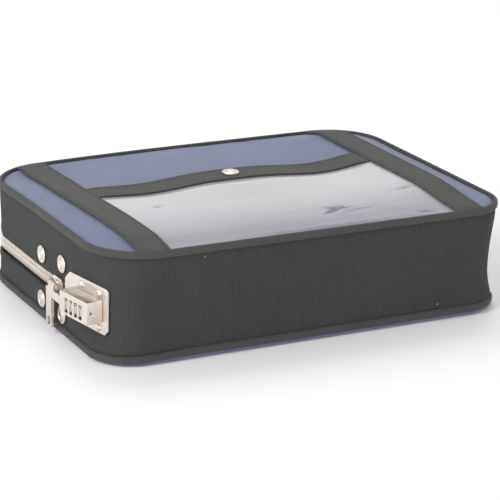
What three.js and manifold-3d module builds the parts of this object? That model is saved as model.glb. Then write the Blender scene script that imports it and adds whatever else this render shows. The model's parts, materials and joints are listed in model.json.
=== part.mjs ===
// Lockable cash deposit bag: a flat soft case with a zip round three sides, a combination lock
// that holds the zip's slider, and a clear document pocket on its lid.
// Millimetres, +Z up. The origin is on the underside, at the middle; the front wall faces -Y and
// the lock is on the left wall, which faces -X.
import * as THREE from "three";
import { mergeVertices } from "three/addons/utils/BufferGeometryUtils.js";
import Module from "manifold-3d";

const wasm = await Module();
wasm.setup();

// ---- Driving dimensions ----
const width = 370; // over the side walls
const depth = 270; // over the front and back walls
const wallHeight = 78.7; // between the two bindings
const wallThick = 2;
const cornerRadius = 48;
const gap = 0.3; // between pieces that touch

const bindingHeight = 6.4;
const bindingProud = 1.5; // how far a binding stands out past the walls
const bindingInside = 4.5; // how far it reaches in over a panel
const bindingRound = 1.8;
const bindingLow = 2; // the bottom binding's lowest edge, above the floor
const panelThick = 3;
const panelBelowBinding = 1.4; // the lid panel's top, under the binding's
const boardThick = 2;

const zipLevel = 42.5; // middle of the zip, above the floor
const zipSlit = 1.4; // between the two rows of teeth
const toothRow = 3.4; // height of one row
const toothThick = 4.2; // in and out of the wall
const zipReveal = 6; // from the middle of the zip to the edge of the wall cloth
const tapeThick = 0.8;
const tapeHeight = 6.8; // from the row of teeth to the tape's far edge
const seamFromFront = 69; // from the front wall to the seams that end the zip's walls
const zipFromSeam = 11; // from a seam to the end of the rows of teeth
const stopLong = 2.4; // the stops at the lock end, along the zip
const endBoxLong = 5; // the box at the far end
const stopProud = 0.4; // how far stops and box stand out of the wall

const strapWide = 26;
const strapThick = 1.4;
const strapFromSide = 42; // from a side wall to the middle of a strap
const windowThick = 0.5;
const windowUnderStrap = 8;
const mouthWide = 27; // the pocket's mouth band, front to back
const mouthThick = 1.6;
const mouthFromBack = 97; // from the back wall to the band's rear edge
const mouthRise = 2.4; // how far the snap holds up the middle of the band
const mouthOverWindow = 8;

const snapRadius = 7.6;
const snapBrim = 0.9; // height of the cap's straight edge
const snapDome = 1.9; // height where the dome turns flat
const snapTop = 2;
const snapDomeIn = 1.4;
const snapShank = 2;
const socketInner = 2.6;
const socketOuter = [5.6, 6]; // at its lower and upper face
const socketTall = 1.5;
const snapStudRadius = 5.2;
const snapStudFoot = [0.6, 0.7]; // its edge, and where its neck starts
const snapNeck = 2.2;
const snapNeckAbove = 1; // how far the neck reaches into the socket
const postHead = 4.5;
const postHeadThick = 1;
const studRadius = 7.5;
const studHeads = 2;
const studShank = 2;
const studRim = 0.7; // height of a cap's straight edge
const studRise = 0.3; // from the crown's edge to its top
const studCrownIn = 1.6;
const studTail = 3.2; // the end turned over inside
const studTailThick = 0.7;
const washerRadius = 5.5;
const washerThick = 0.8;
const studsAboveZip = [19.9, 15.1]; // the upper studs, nearest the seam first
const studAboveBinding = 10.3; // the lower studs, above the wall's lower edge
const studFromSeam = [18, 61]; // along the left wall

const lockAngle = THREE.MathUtils.degToRad(10.4); // the wall turns in behind the lock
const lockCornerRadius = 28;
const plateThick = 1.5;
const plateCorners = [4, 4, 1.5, 7]; // cut off at each corner
const plateBehindSeam = 7; // how far the plate reaches back over the seam
const plateMargin = 1.3; // from the rivets' heads to the plate's edge
const plateFront = 6.7; // from the housing to the plate's front edge
const housingWall = 1.4;
const housingFromRear = 15; // from the plate's rear edge
const dialCount = 4;
const dialPitch = 6.7;
const dialEnds = [9.3, 9.9]; // from the first and last dial to the housing's ends
const dialRadius = 6.4;
const dialWide = 3.8;
const dialShow = 0.6; // how far a dial stands out of its window
const dialDrop = 1.2; // dials' axis below the middle of the lock
const dialBehind = 2.5; // from the plate to the dials
const dialSide = 0.25; // from the dials to the housing's floor
const dialHubIn = 2.2; // from a dial's rim to its hub
const windowLess = 0.4; // how much less than the dial each window's half height is
const resetRadius = 0.9;
const resetFromFace = 3.6;
const springThick = 0.6;
const springFromWall = 0.4;
const springHalf = 4;
const boltRadius = 1.5;
const rivetShank = 1.5;
const rivetHead = 3;
const rivetDome = [0.4, 1.2, 1.4]; // heights of the head's edge, shoulder and top
const rivetShoulderIn = 1;
const rivetTail = 2.6;
const rivetTailThick = 0.8;
const rivetsFromHousing = [8.3, 6.1]; // in from the housing's rear and front ends
const rivetClear = [1.35, 2.75]; // heads above and below the housing
const backingThick = 1.2;
const backingPast = 4; // from the rivets to the backing plate's edges

const sliderLong = 20;
const sliderTall = 14;
const sliderThick = 2.2;
const sliderFromSeam = 24; // its middle, at rest
const sliderWeb = 0.8;
const sliderCorner = 3;
const sliderInnerThick = 1.6;
const sliderInnerLess = [2, 1]; // how much shorter and lower the inner plate is
const webFromNose = [6, 2]; // where the web between the plates starts and ends
const postThick = 2.4;
const pullThick = 2.4;
const pullWide = 11;
const pullDrop = 38; // from the pivot to the bottom of the tab
const pivotRadius = 1.3;
const knuckleWall = 1.05;
const armTall = 7;
const armDrop = 2; // from the pivot's posts to the arm
const tabHole = [3.3, 4]; // half its width and height
const tabHoleUp = 0.6;
const eyeWall = 2.2; // from the bolt to the eye's rim
const eyePlay = 0.9; // round the bolt
const eyeThick = 1.6;

// ---- Levels and places that follow ----
const wallLow = bindingLow + bindingHeight + gap;
const wallHigh = wallLow + wallHeight;
const topBindingLow = wallHigh + gap;
const topBindingHigh = topBindingLow + bindingHeight;
const topPanelHigh = topBindingHigh - panelBelowBinding;
const strapLow = topPanelHigh + gap + windowThick + gap;
const front = -depth / 2;
const back = depth / 2;
const left = -width / 2;
const seamY = front + seamFromFront;
const upperStudLevels = studsAboveZip.map((distance) => zipLevel + distance);
const lowerStudLevel = wallLow + studAboveBinding;
const housingLong = dialEnds[0] + (dialCount - 1) * dialPitch + dialEnds[1];
const housingOut = dialBehind + 2 * dialRadius - dialShow;
const housingTall = 2 * (dialRadius + dialDrop + dialSide + housingWall);
const plateLong = housingFromRear + housingLong + plateFront;
const rivetsAlong = [
  housingFromRear + rivetsFromHousing[0],
  housingFromRear + housingLong - rivetsFromHousing[1],
];
const rivetsUp = [
  housingTall / 2 + rivetClear[0] + rivetHead,
  -housingTall / 2 - rivetClear[1] - rivetHead,
];
const plateTall = 2 * (rivetHead + plateMargin - rivetsUp[1]);
const plateOut = gap + plateThick; // outer face of the lock plate, from the wall
const dialOut = plateOut + housingOut + dialShow - dialRadius;

// ---- Finishes ----
const finish = (color, roughness, metalness = 0) =>
  new THREE.MeshStandardMaterial({ color, roughness, metalness });
const blueCloth = finish(0x5a6286, 0.75);
const blackCanvas = finish(0x2c2c2e, 0.9);
const blackWebbing = finish(0x37363a, 0.85);
const zipTape = finish(0x232325, 0.95);
const clearVinyl = finish(0xc4c6ce, 0.15);
const nickel = finish(0xd8cec6, 0.35, 1);
const steel = finish(0xa8a8a8, 0.45, 1);
const fibreboard = finish(0x6d6255, 0.9);

// ---- Solid helpers ----
function toSolid(geometry) {
  const bare = geometry.clone();
  bare.deleteAttribute("normal");
  bare.deleteAttribute("uv");
  const merged = mergeVertices(bare, 1e-4);
  return new wasm.Manifold(
    new wasm.Mesh({
      numProp: 3,
      vertProperties: new Float32Array(merged.attributes.position.array),
      triVerts: new Uint32Array(merged.index.array),
    }),
  );
}

function toGeometry(solid) {
  const mesh = solid.getMesh();
  const geometry = new THREE.BufferGeometry();
  geometry.setAttribute("position", new THREE.BufferAttribute(mesh.vertProperties, 3));
  geometry.setIndex(new THREE.BufferAttribute(mesh.triVerts, 1));
  geometry.computeVertexNormals();
  return geometry;
}

const cut = (body, ...tools) =>
  toGeometry(tools.reduce((solid, tool) => solid.subtract(toSolid(tool)), toSolid(body)));

const join = (...pieces) =>
  toGeometry(pieces.map(toSolid).reduce((solid, piece) => solid.add(piece)));

const common = (body, other) => toGeometry(toSolid(body).intersect(toSolid(other)));

// A shape drawn in X and Y, raised from z0 to z1.
function slab(shape, z0, z1, curveSegments = 4) {
  const options = { depth: z1 - z0, bevelEnabled: false, curveSegments };
  return new THREE.ExtrudeGeometry(shape, options).translate(0, 0, z0);
}

// The same with its edges rounded over.
function softSlab(shape, z0, z1, round, bevelSegments = 2) {
  const options = {
    depth: z1 - z0 - 2 * round,
    bevelThickness: round,
    bevelSize: round,
    bevelOffset: -round,
    bevelSegments,
    curveSegments: 4,
  };
  return new THREE.ExtrudeGeometry(shape, options).translate(0, 0, z0 + round);
}

// A shape drawn in X and Z, carried from y0 to y1.
function upright(shape, y0, y1, curveSegments = 4) {
  const options = { depth: y1 - y0, bevelEnabled: false, curveSegments };
  return new THREE.ExtrudeGeometry(shape, options).rotateX(Math.PI / 2).translate(0, y1, 0);
}

function block(x0, x1, y0, y1, z0, z1) {
  const box = new THREE.BoxGeometry(x1 - x0, y1 - y0, z1 - z0);
  return box.translate((x0 + x1) / 2, (y0 + y1) / 2, (z0 + z1) / 2);
}

// A profile of [radius, height] pairs turned round the Y axis, from the lowest height up.
function turned(profile, segments = 20) {
  return new THREE.LatheGeometry(
    profile.map(([radius, height]) => new THREE.Vector2(radius, height)),
    segments,
  );
}

const rod = (radius, y0, y1, segments = 20) =>
  turned([[0, y0], [radius, y0], [radius, y1], [0, y1]], segments);

// A rod along X, for pivots and the bolt.
const rodX = (radius, x0, x1, segments = 20) =>
  rod(radius, x0, x1, segments).rotateZ(-Math.PI / 2);

function rectangle(x0, x1, y0, y1) {
  const shape = new THREE.Shape();
  shape.moveTo(x0, y0).lineTo(x1, y0).lineTo(x1, y1).lineTo(x0, y1).closePath();
  return shape;
}

// ---- Outlines ----
// The panels' outline: a rectangle with round corners, drawn in by inset.
function panelOutline(inset, Kind = THREE.Shape) {
  const w = width / 2 - inset;
  const h = depth / 2 - inset;
  const r = cornerRadius - inset;
  const cx = w - r;
  const cy = h - r;
  const quarter = Math.PI / 2;
  const path = new Kind();
  path.moveTo(-cx, -h).lineTo(cx, -h).absarc(cx, -cy, r, -quarter, 0, false);
  path.lineTo(w, cy).absarc(cx, cy, r, 0, quarter, false);
  path.lineTo(-cx, h).absarc(-cx, cy, r, quarter, Math.PI, false);
  path.lineTo(-w, -cy).absarc(-cx, -cy, r, Math.PI, 3 * quarter, false);
  return path;
}

function ring(outerInset, innerInset) {
  const shape = panelOutline(outerInset);
  shape.holes.push(panelOutline(innerInset, THREE.Path));
  return shape;
}

// A strip of wall along the left side, the back and the right side, from frontEnd to frontEnd.
function sideAndBackStrip(outerInset, innerInset, frontEnd) {
  const quarter = Math.PI / 2;
  const cx = width / 2 - cornerRadius;
  const cy = depth / 2 - cornerRadius;
  const outer = width / 2 - outerInset;
  const inner = width / 2 - innerInset;
  const shape = new THREE.Shape();
  shape.moveTo(-outer, frontEnd).lineTo(-outer, cy);
  shape.absarc(-cx, cy, cornerRadius - outerInset, Math.PI, quarter, true);
  shape.lineTo(cx, depth / 2 - outerInset);
  shape.absarc(cx, cy, cornerRadius - outerInset, quarter, 0, true);
  shape.lineTo(outer, frontEnd).lineTo(inner, frontEnd).lineTo(inner, cy);
  shape.absarc(cx, cy, cornerRadius - innerInset, 0, quarter, false);
  shape.lineTo(-cx, depth / 2 - innerInset);
  shape.absarc(-cx, cy, cornerRadius - innerInset, quarter, Math.PI, false);
  shape.lineTo(-inner, frontEnd);
  return shape;
}

// The front wall and both front corners. Its left corner has a flat behind the lock.
function frontStrip(innerInset, backEnd) {
  const quarter = Math.PI / 2;
  const cx = width / 2 - cornerRadius;
  const cy = depth / 2 - cornerRadius;
  const flatLong =
    (seamFromFront - lockCornerRadius * (1 - Math.sin(lockAngle))) / Math.cos(lockAngle);
  const lockX =
    left + flatLong * Math.sin(lockAngle) + lockCornerRadius * Math.cos(lockAngle);
  const lockY = front + lockCornerRadius;
  const flatStart = innerInset * Math.tan(lockAngle / 2);
  const inner = width / 2 - innerInset;
  const turn = Math.PI + lockAngle;
  const shape = new THREE.Shape();
  shape.moveTo(left, backEnd).lineTo(left, seamY);
  shape.absarc(lockX, lockY, lockCornerRadius, turn, 3 * quarter, false);
  shape.lineTo(cx, front).absarc(cx, -cy, cornerRadius, -quarter, 0, false);
  shape.lineTo(width / 2, backEnd).lineTo(inner, backEnd).lineTo(inner, -cy);
  shape.absarc(cx, -cy, cornerRadius - innerInset, 0, -quarter, true);
  shape.lineTo(lockX, front + innerInset);
  shape.absarc(lockX, lockY, lockCornerRadius - innerInset, 3 * quarter, turn, true);
  shape.lineTo(-inner, seamY + flatStart).lineTo(-inner, backEnd);
  return shape;
}

// ---- Frames on the left wall: +X runs to the front, -Y points out of the wall ----
function wallFrame(y, level, turn = 0) {
  const group = new THREE.Group();
  group.position.set(left, y, level);
  group.rotation.z = -Math.PI / 2 + turn;
  group.updateMatrix();
  return group;
}

const bag = new THREE.Group();

function add(name, geometry, material, parent = bag) {
  const mesh = new THREE.Mesh(geometry, material);
  mesh.name = name;
  parent.add(mesh);
}

// ---- Bottom: panel, stiffener and binding ----
function buildBottom() {
  const panelInset = bindingInside + gap;
  add("bottom_panel", softSlab(panelOutline(panelInset), 0, panelThick, 1, 1), blueCloth);
  const boardLow = panelThick + gap;
  const board = slab(panelOutline(panelInset), boardLow, boardLow + boardThick);
  add("bottom_board", board, fibreboard);
  const binding = softSlab(
    ring(-bindingProud, bindingInside),
    bindingLow,
    bindingLow + bindingHeight,
    bindingRound,
  );
  add("bottom_binding", binding, blackWebbing);
}

// ---- Lid: panel, stiffener, binding, straps and pocket ----
function buildLid() {
  const panelInset = bindingInside + gap;
  const snapX = 0;
  const snapY = back - mouthFromBack - mouthWide / 2;
  const postHole = snapShank + gap;
  const hole = rod(postHole, topBindingLow - 5, topBindingHigh + 5).rotateX(Math.PI / 2);
  hole.translate(snapX, snapY, 0);
  const panelLow = topPanelHigh - panelThick;
  const panel = softSlab(panelOutline(panelInset), panelLow, topPanelHigh, 1, 1);
  add("top_panel", cut(panel, hole), blueCloth);
  const boardHigh = panelLow - gap;
  const board = slab(panelOutline(panelInset), boardHigh - boardThick, boardHigh);
  add("top_board", cut(board, hole), fibreboard);
  const binding = softSlab(
    ring(-bindingProud, bindingInside),
    topBindingLow,
    topBindingHigh,
    bindingRound,
  );
  add("top_binding", binding, blackWebbing);
  buildStraps();
  buildPocket();
  buildSnap(snapX, snapY, boardHigh - boardThick);
}

// The straps run from front to back, and end at the binding round the lid.
function buildStraps() {
  const withinBinding = slab(panelOutline(bindingInside + gap), strapLow - 1, strapLow + 5);
  for (const [name, side] of [["strap_left", -1], ["strap_right", 1]]) {
    const middle = side * (width / 2 - strapFromSide);
    const outline = rectangle(middle - strapWide / 2, middle + strapWide / 2, front, back);
    const band = slab(outline, strapLow, strapLow + strapThick);
    add(name, common(band, withinBinding), blackWebbing);
  }
}

function buildPocket() {
  const strapInner = width / 2 - strapFromSide - strapWide / 2;
  const mouthBack = back - mouthFromBack;
  const mouthFront = mouthBack - mouthWide;
  const half = strapInner + windowUnderStrap;
  const windowLow = topPanelHigh + gap;
  const pane = rectangle(-half, half, front, mouthFront + mouthOverWindow);
  const sheet = slab(pane, windowLow, windowLow + windowThick);
  const withinBinding = slab(panelOutline(bindingInside + gap), windowLow - 1, windowLow + 5);
  add("pocket_window", common(sheet, withinBinding), clearVinyl);
  // The band's long section, arched over the snap, carried from front to back.
  const end = strapInner - gap;
  const steps = 12;
  const arch = new THREE.Shape();
  const rise = (x) => (mouthRise * (1 + Math.cos((Math.PI * x) / end))) / 2;
  const archPoint = (i, lift) => {
    const x = -end + (2 * end * i) / steps;
    return [x, strapLow + lift + rise(x)];
  };
  arch.moveTo(...archPoint(0, 0));
  for (let i = 1; i <= steps; i++) arch.lineTo(...archPoint(i, 0));
  for (let i = steps; i >= 0; i--) arch.lineTo(...archPoint(i, mouthThick));
  const postHole = rod(snapShank + gap, topPanelHigh, strapLow + 20).rotateX(Math.PI / 2);
  postHole.translate(0, mouthBack - mouthWide / 2, 0);
  add("pocket_mouth_band", cut(upright(arch, mouthFront, mouthBack), postHole), blackWebbing);
}

// A press snap: cap and socket on the band, stud and post on the lid panel.
function buildSnap(x, y, boardLow) {
  const frame = new THREE.Group();
  frame.position.set(x, y, 0);
  frame.rotation.x = Math.PI / 2;
  bag.add(frame);
  const bandLow = strapLow + mouthRise;
  const bandHigh = bandLow + mouthThick;
  const capLow = bandHigh + gap;
  const cap = [[0, bandLow], [snapShank, bandLow], [snapShank, capLow], [snapRadius, capLow]];
  cap.push([snapRadius, capLow + snapBrim], [snapRadius - snapDomeIn, capLow + snapDome]);
  cap.push([0, capLow + snapTop]);
  add("snap_cap", turned(cap, 24), nickel, frame);
  const socketHigh = bandLow - gap;
  const socketLow = socketHigh - socketTall;
  const socket = [[socketInner, socketLow], [socketOuter[0], socketLow]];
  socket.push([socketOuter[1], socketHigh], [socketInner, socketHigh], [socketInner, socketLow]);
  add("snap_socket", turned(socket, 20), nickel, frame);
  const studLow = topPanelHigh + gap;
  const neckHigh = socketLow + snapNeckAbove;
  const stud = [[0, studLow], [snapStudRadius, studLow], [snapStudRadius, studLow + snapStudFoot[0]]];
  stud.push([snapNeck, studLow + snapStudFoot[1]], [snapNeck, neckHigh], [0, neckHigh]);
  add("snap_stud", turned(stud, 20), nickel, frame);
  const postSeat = boardLow - gap;
  const postLow = postSeat - postHeadThick;
  const post = [[0, postLow], [postHead, postLow], [postHead, postSeat], [snapShank, postSeat]];
  post.push([snapShank, topPanelHigh - gap / 3], [0, topPanelHigh - gap / 3]);
  add("snap_post", turned(post, 16), steel, frame);
}

// ---- Walls, with a zip between the upper and lower side walls ----
function studPlaces() {
  const [near, far] = studFromSeam;
  return [
    { name: "1", y: seamY + far, level: upperStudLevels[1] },
    { name: "2", y: seamY + near, level: upperStudLevels[0] },
    { name: "3", y: seamY + far, level: lowerStudLevel },
    { name: "4", y: seamY + near, level: lowerStudLevel },
  ];
}

function wallHole(frame, radius, x = 0, z = 0) {
  const hole = rod(radius, -5, wallThick + 5, 16).translate(x, 0, z);
  return hole.applyMatrix4(frame.matrix);
}

function buildWalls(lock) {
  const strip = sideAndBackStrip(0, wallThick, seamY + gap);
  const holes = (upperWall) =>
    studPlaces()
      .filter((stud) => stud.level > zipLevel === upperWall)
      .map((stud) => wallHole(wallFrame(stud.y, stud.level), studShank + gap));
  // Past its ends the walls close up over the zip's tape, almost edge to edge.
  const closed = (low, high) => {
    const start = seamY + gap;
    const toothEnd = seamY + zipFromSeam;
    const leftEnd = toothEnd - 2 * gap - stopLong;
    const rightEnd = toothEnd - 2 * gap - endBoxLong;
    return [
      block(left, left + wallThick, start, leftEnd, low, high),
      block(-left - wallThick, -left, start, rightEnd, low, high),
    ];
  };
  const lower = join(
    slab(strip, wallLow, zipLevel - zipReveal),
    ...closed(zipLevel - 2 * zipReveal, zipLevel - gap / 2),
  );
  const upper = join(
    slab(strip, zipLevel + zipReveal, wallHigh),
    ...closed(zipLevel + gap / 2, zipLevel + 2 * zipReveal),
  );
  add("lower_gusset", cut(lower, ...holes(false)), blackCanvas);
  add("upper_gusset", cut(upper, ...holes(true)), blackCanvas);
  const frontWall = slab(frontStrip(wallThick, seamY), wallLow, wallHigh);
  const rivetHoles = rivetPlaces().map(([x, z]) => wallHole(lock, rivetShank + gap, x, z));
  add("front_gusset", cut(frontWall, ...rivetHoles), blackCanvas);
}

function buildZip() {
  const toothEnd = seamY + zipFromSeam;
  const rows = sideAndBackStrip(0, toothThick, toothEnd);
  const tapeOut = wallThick + gap;
  const tape = sideAndBackStrip(tapeOut, tapeOut + tapeThick, toothEnd);
  const rowSides = [["lower", -1, lowerStudLevel], ["upper", 1, Math.min(...upperStudLevels)]];
  for (const [word, side, studLevel] of rowSides) {
    const level = (distance) => zipLevel + side * distance;
    const between = (a, b) => [Math.min(level(a), level(b)), Math.max(level(a), level(b))];
    const toothFar = zipSlit / 2 + toothRow;
    const tapeNear = toothFar + gap;
    const toWasher = Math.abs(studLevel - zipLevel) - washerRadius - gap;
    const tapeFar = Math.min(tapeNear + tapeHeight, toWasher);
    add("zip_teeth_" + word, slab(rows, ...between(zipSlit / 2, toothFar)), nickel);
    add("zip_tape_" + word, slab(tape, ...between(tapeNear, tapeFar)), zipTape);
    // The stop that ends each row beside the lock.
    const stop = wallFrame(toothEnd, zipLevel);
    bag.add(stop);
    const [low, high] = [zipSlit / 2, toothFar].map((z) => side * z).sort((a, b) => a - b);
    const body = block(gap, gap + stopLong, -stopProud, toothThick, low, high);
    add("zip_stop_" + word, body, nickel, stop);
  }
  // The box at the far end of the zip, on the right wall.
  const endBox = block(
    width / 2 - toothThick,
    width / 2 + stopProud,
    toothEnd - gap - endBoxLong,
    toothEnd - gap,
    zipLevel - zipReveal + gap,
    zipLevel + zipReveal - gap,
  );
  add("zip_end_box", endBox, nickel);
}

// ---- Studs on the left wall, each held by a washer inside ----
function buildStuds() {
  for (const { name, y, level } of studPlaces()) {
    const frame = wallFrame(y, level);
    bag.add(frame);
    const washerIn = wallThick + gap;
    const washerOut = washerIn + washerThick;
    const tailIn = washerOut + gap;
    const tailOut = tailIn + studTailThick;
    const cap = [[0, -gap - studHeads], [studRadius - studCrownIn, -gap - studHeads + studRise]];
    cap.push([studRadius, -gap - studRim], [studRadius, -gap], [studShank, -gap]);
    cap.push([studShank, tailIn], [studTail, tailIn], [studTail, tailOut], [0, tailOut]);
    add("side_stud_" + name, turned(cap, 24), nickel, frame);
    const washer = [[studShank + gap, washerIn], [washerRadius, washerIn], [washerRadius, washerOut]];
    washer.push([studShank + gap, washerOut], [studShank + gap, washerIn]);
    add("stud_washer_" + name, turned(washer, 16), steel, frame);
  }
}

// ---- Slider and pull: X runs to the front, -Y out of the wall, Z up ----
const pivotOut = gap + sliderThick + pivotRadius + knuckleWall + 3 * gap;
const pivotUp = 1.5;
const postTall = 3.4;
const sliderY = seamY + sliderFromSeam;

function buildSlider(frame) {
  const plateFar = -gap - sliderThick;
  const outer = upright(chamfered(sliderLong, sliderTall, Array(4).fill(sliderCorner)), plateFar, -gap);
  const innerNear = toothThick + gap;
  const inner = upright(
    chamfered(sliderLong - sliderInnerLess[0], sliderTall - sliderInnerLess[1], Array(4).fill(sliderCorner)),
    innerNear,
    innerNear + sliderInnerThick,
  );
  const web = block(
    sliderLong / 2 - webFromNose[0],
    sliderLong / 2 - webFromNose[1],
    -gap - 1,
    innerNear + 1,
    -sliderWeb / 2,
    sliderWeb / 2,
  );
  const postFar = -pivotOut - pivotRadius;
  const postX = pullWide / 2 + 1;
  const post = (x) =>
    block(x, x + postThick, postFar, plateFar + 1, pivotUp - postTall / 2, pivotUp + postTall / 2);
  const pin = rodX(pivotRadius, -postX - 1, postX + 1, 12).translate(0, -pivotOut, pivotUp);
  const body = join(outer, inner, web, post(postX), post(-postX - postThick), pin);
  add("slider_body", body, nickel, frame);
}

// The pull hangs from the slider's pin. Its arm carries an eye to the end of the lock, and its
// tab hangs below.
function buildPull(frame, eye) {
  const knuckle = pivotRadius + gap + knuckleWall;
  const faceOut = -pivotOut - knuckle;
  const faceIn = faceOut + pullThick;
  const armHigh = pivotUp - postTall / 2 - armDrop;
  const armLow = armHigh - armTall;
  const tabLow = pivotUp - pullDrop;
  const rear = -sliderLong / 2;
  const tabRadius = pullWide / 2;
  const face = new THREE.Shape();
  face.moveTo(rear, armHigh).lineTo(rear, tabLow + tabRadius);
  face.absarc(rear + tabRadius, tabLow + tabRadius, tabRadius, Math.PI, 2 * Math.PI, false);
  face.lineTo(rear + pullWide, armLow).lineTo(eye.front, armLow).lineTo(eye.front, armHigh);
  face.lineTo(pullWide / 2, armHigh).lineTo(pullWide / 2, pivotUp);
  face.lineTo(-pullWide / 2, pivotUp).lineTo(-pullWide / 2, armHigh);
  const hole = new THREE.Path();
  const holeUp = tabLow + tabRadius + tabHoleUp;
  hole.absellipse(rear + tabRadius, holeUp, tabHole[0], tabHole[1], 0, 2 * Math.PI, true);
  face.holes.push(hole);
  const plate = upright(face, faceOut, faceIn);
  const barrel = rodX(knuckle, -pullWide / 2, pullWide / 2, 16);
  barrel.translate(0, -pivotOut, pivotUp);
  const eyeRim = boltRadius + eyeWall;
  const lug = block(
    eye.front - eyeThick,
    eye.front,
    eye.y - eyeRim,
    faceIn,
    Math.min(eye.z - eyeRim, armLow + 2),
    eye.z + eyeRim,
  );
  const bore = rodX(pivotRadius + gap, -pullWide, pullWide, 12);
  bore.translate(0, -pivotOut, pivotUp);
  const eyeHole = rodX(boltRadius + eyePlay, eye.front - 3, eye.front + 1, 16);
  eyeHole.translate(0, eye.y, eye.z);
  add("pull_tab", cut(join(plate, barrel, lug), bore, eyeHole), nickel, frame);
}

// A rectangle round the origin with its corners cut at 45 degrees, counted from the lower left.
function chamfered(long, tall, [lowLeft, lowRight, highRight, highLeft]) {
  const x = long / 2;
  const y = tall / 2;
  const shape = new THREE.Shape();
  shape.moveTo(-x + lowLeft, -y).lineTo(x - lowRight, -y).lineTo(x, -y + lowRight);
  shape.lineTo(x, y - highRight).lineTo(x - highRight, y).lineTo(-x + highLeft, y);
  shape.lineTo(-x, y - highLeft).lineTo(-x, -y + lowLeft).closePath();
  return shape;
}

// ---- Lock: in its frame X runs to the front from the seam, -Y out of the wall, Z up ----
const fromRear = (distance) => distance - plateBehindSeam;

function rivetPlaces() {
  return rivetsUp.flatMap((z) => rivetsAlong.map((along) => [fromRear(along), z]));
}

function buildLock(frame) {
  const middle = fromRear(plateLong / 2);
  const holes = rivetPlaces().map(([x, z]) => rod(rivetShank + gap, -5, 9, 12).translate(x, 0, z));
  const plate = upright(chamfered(plateLong, plateTall, plateCorners), -plateOut, -gap);
  add("lock_plate", cut(plate.translate(middle, 0, 0), ...holes), nickel, frame);

  const flatEnd = (seamFromFront - lockCornerRadius) / Math.cos(lockAngle);
  const backingStart = fromRear(housingFromRear);
  const backingIn = wallThick + gap;
  const backing = block(
    backingStart,
    Math.max(flatEnd, fromRear(rivetsAlong[1]) + backingPast),
    backingIn,
    backingIn + backingThick,
    rivetsUp[1] - backingPast,
    rivetsUp[0] + backingPast,
  );
  add("lock_backing_plate", cut(backing, ...holes), steel, frame);
  buildHousing(frame);
  buildDials(frame);
  rivetPlaces().forEach(([x, z], index) => {
    const headIn = -plateOut - gap;
    const tailIn = backingIn + backingThick + gap;
    const tailOut = tailIn + rivetTailThick;
    const [edge, shoulder, top] = rivetDome.map((rise) => headIn - rise);
    const profile = [[0, top], [rivetHead - rivetShoulderIn, shoulder], [rivetHead, edge]];
    profile.push([rivetHead, headIn], [rivetShank, headIn], [rivetShank, tailIn]);
    profile.push([rivetTail, tailIn], [rivetTail, tailOut], [0, tailOut]);
    const rivet = turned(profile, 16).translate(x, 0, z);
    add("lock_rivet_" + (index + 1), rivet, nickel, frame);
  });
}

function buildHousing(frame) {
  const x0 = fromRear(housingFromRear);
  const x1 = x0 + housingLong;
  const near = -plateOut - gap;
  const far = -plateOut - housingOut;
  const half = housingTall / 2;
  const outside = block(x0, x1, far, near, -half, half);
  const w = housingWall;
  const inside = block(x0 + w, x1 - w, far + w, near + 1, -half + w, half - w);
  const windowHalf = (dialWide + 2 * gap) / 2;
  const windowTall = dialRadius - windowLess;
  const [low, high] = [-dialDrop - windowTall, -dialDrop + windowTall];
  const windows = dialPlaces().map((x) =>
    block(x - windowHalf, x + windowHalf, far - 1, far + w + 1, low, high),
  );
  const boltHole = rodX(boltRadius + gap, x0 - 1, x0 + w + 1, 12);
  boltHole.translate(0, -dialOut, -dialDrop);
  const resetHole = rodX(resetRadius, x1 - w - 1, x1 + 1, 10).translate(0, far + resetFromFace, 0);
  const shell = cut(outside, inside, ...windows, boltHole, resetHole);
  add("lock_housing", shell, nickel, frame);
  const springNear = near - springFromWall;
  const spring = block(
    x0 + w + gap,
    x1 - w - gap,
    springNear - springThick,
    springNear,
    -dialDrop - springHalf,
    -dialDrop + springHalf,
  );
  add("detent_spring", spring, steel, frame);
}

function dialPlaces() {
  const first = fromRear(housingFromRear + dialEnds[0]);
  return Array.from({ length: dialCount }, (_, i) => first + i * dialPitch);
}

function buildDials(frame) {
  const bore = boltRadius + gap;
  const hub = dialRadius - dialHubIn;
  const rim = dialWide / 2;
  const hubHalf = dialPitch / 2 - gap;
  dialPlaces().forEach((x, index) => {
    const profile = [[bore, -hubHalf], [hub, -hubHalf], [hub, -rim], [dialRadius, -rim]];
    profile.push([dialRadius, rim], [hub, rim], [hub, hubHalf], [bore, hubHalf]);
    profile.push([bore, -hubHalf]);
    const dial = turned(profile, 20).rotateZ(-Math.PI / 2);
    add("dial_" + (index + 1), dial.translate(x, -dialOut, -dialDrop), nickel, frame);
  });
  const boltStart = fromRear(housingFromRear) + gap;
  const boltEnd = boltStart + housingLong - 2 * housingWall - gap;
  const bolt = rodX(boltRadius, boltStart, boltEnd, 12);
  add("lock_bolt", bolt.translate(0, -dialOut, -dialDrop), steel, frame);
}

// Where the bolt's line meets the pull's eye, in the slider's frame.
function eyePlace(lock, slider) {
  const clearOfHousing = 1;
  const eyeInFromEnd = 0.8;
  const rearCorner = new THREE.Vector3(fromRear(housingFromRear), -pivotOut, 0);
  rearCorner.applyMatrix4(lock.matrix);
  const frontEnd = rearCorner.y + clearOfHousing;
  const start = new THREE.Vector3(0, -dialOut, -dialDrop).applyMatrix4(lock.matrix);
  const along = (start.y - frontEnd - eyeInFromEnd) / Math.cos(lockAngle);
  const point = new THREE.Vector3(along, -dialOut, -dialDrop).applyMatrix4(lock.matrix);
  const local = point.applyMatrix4(slider.matrix.clone().invert());
  return { front: sliderY - frontEnd, y: local.y, z: local.z };
}

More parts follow.
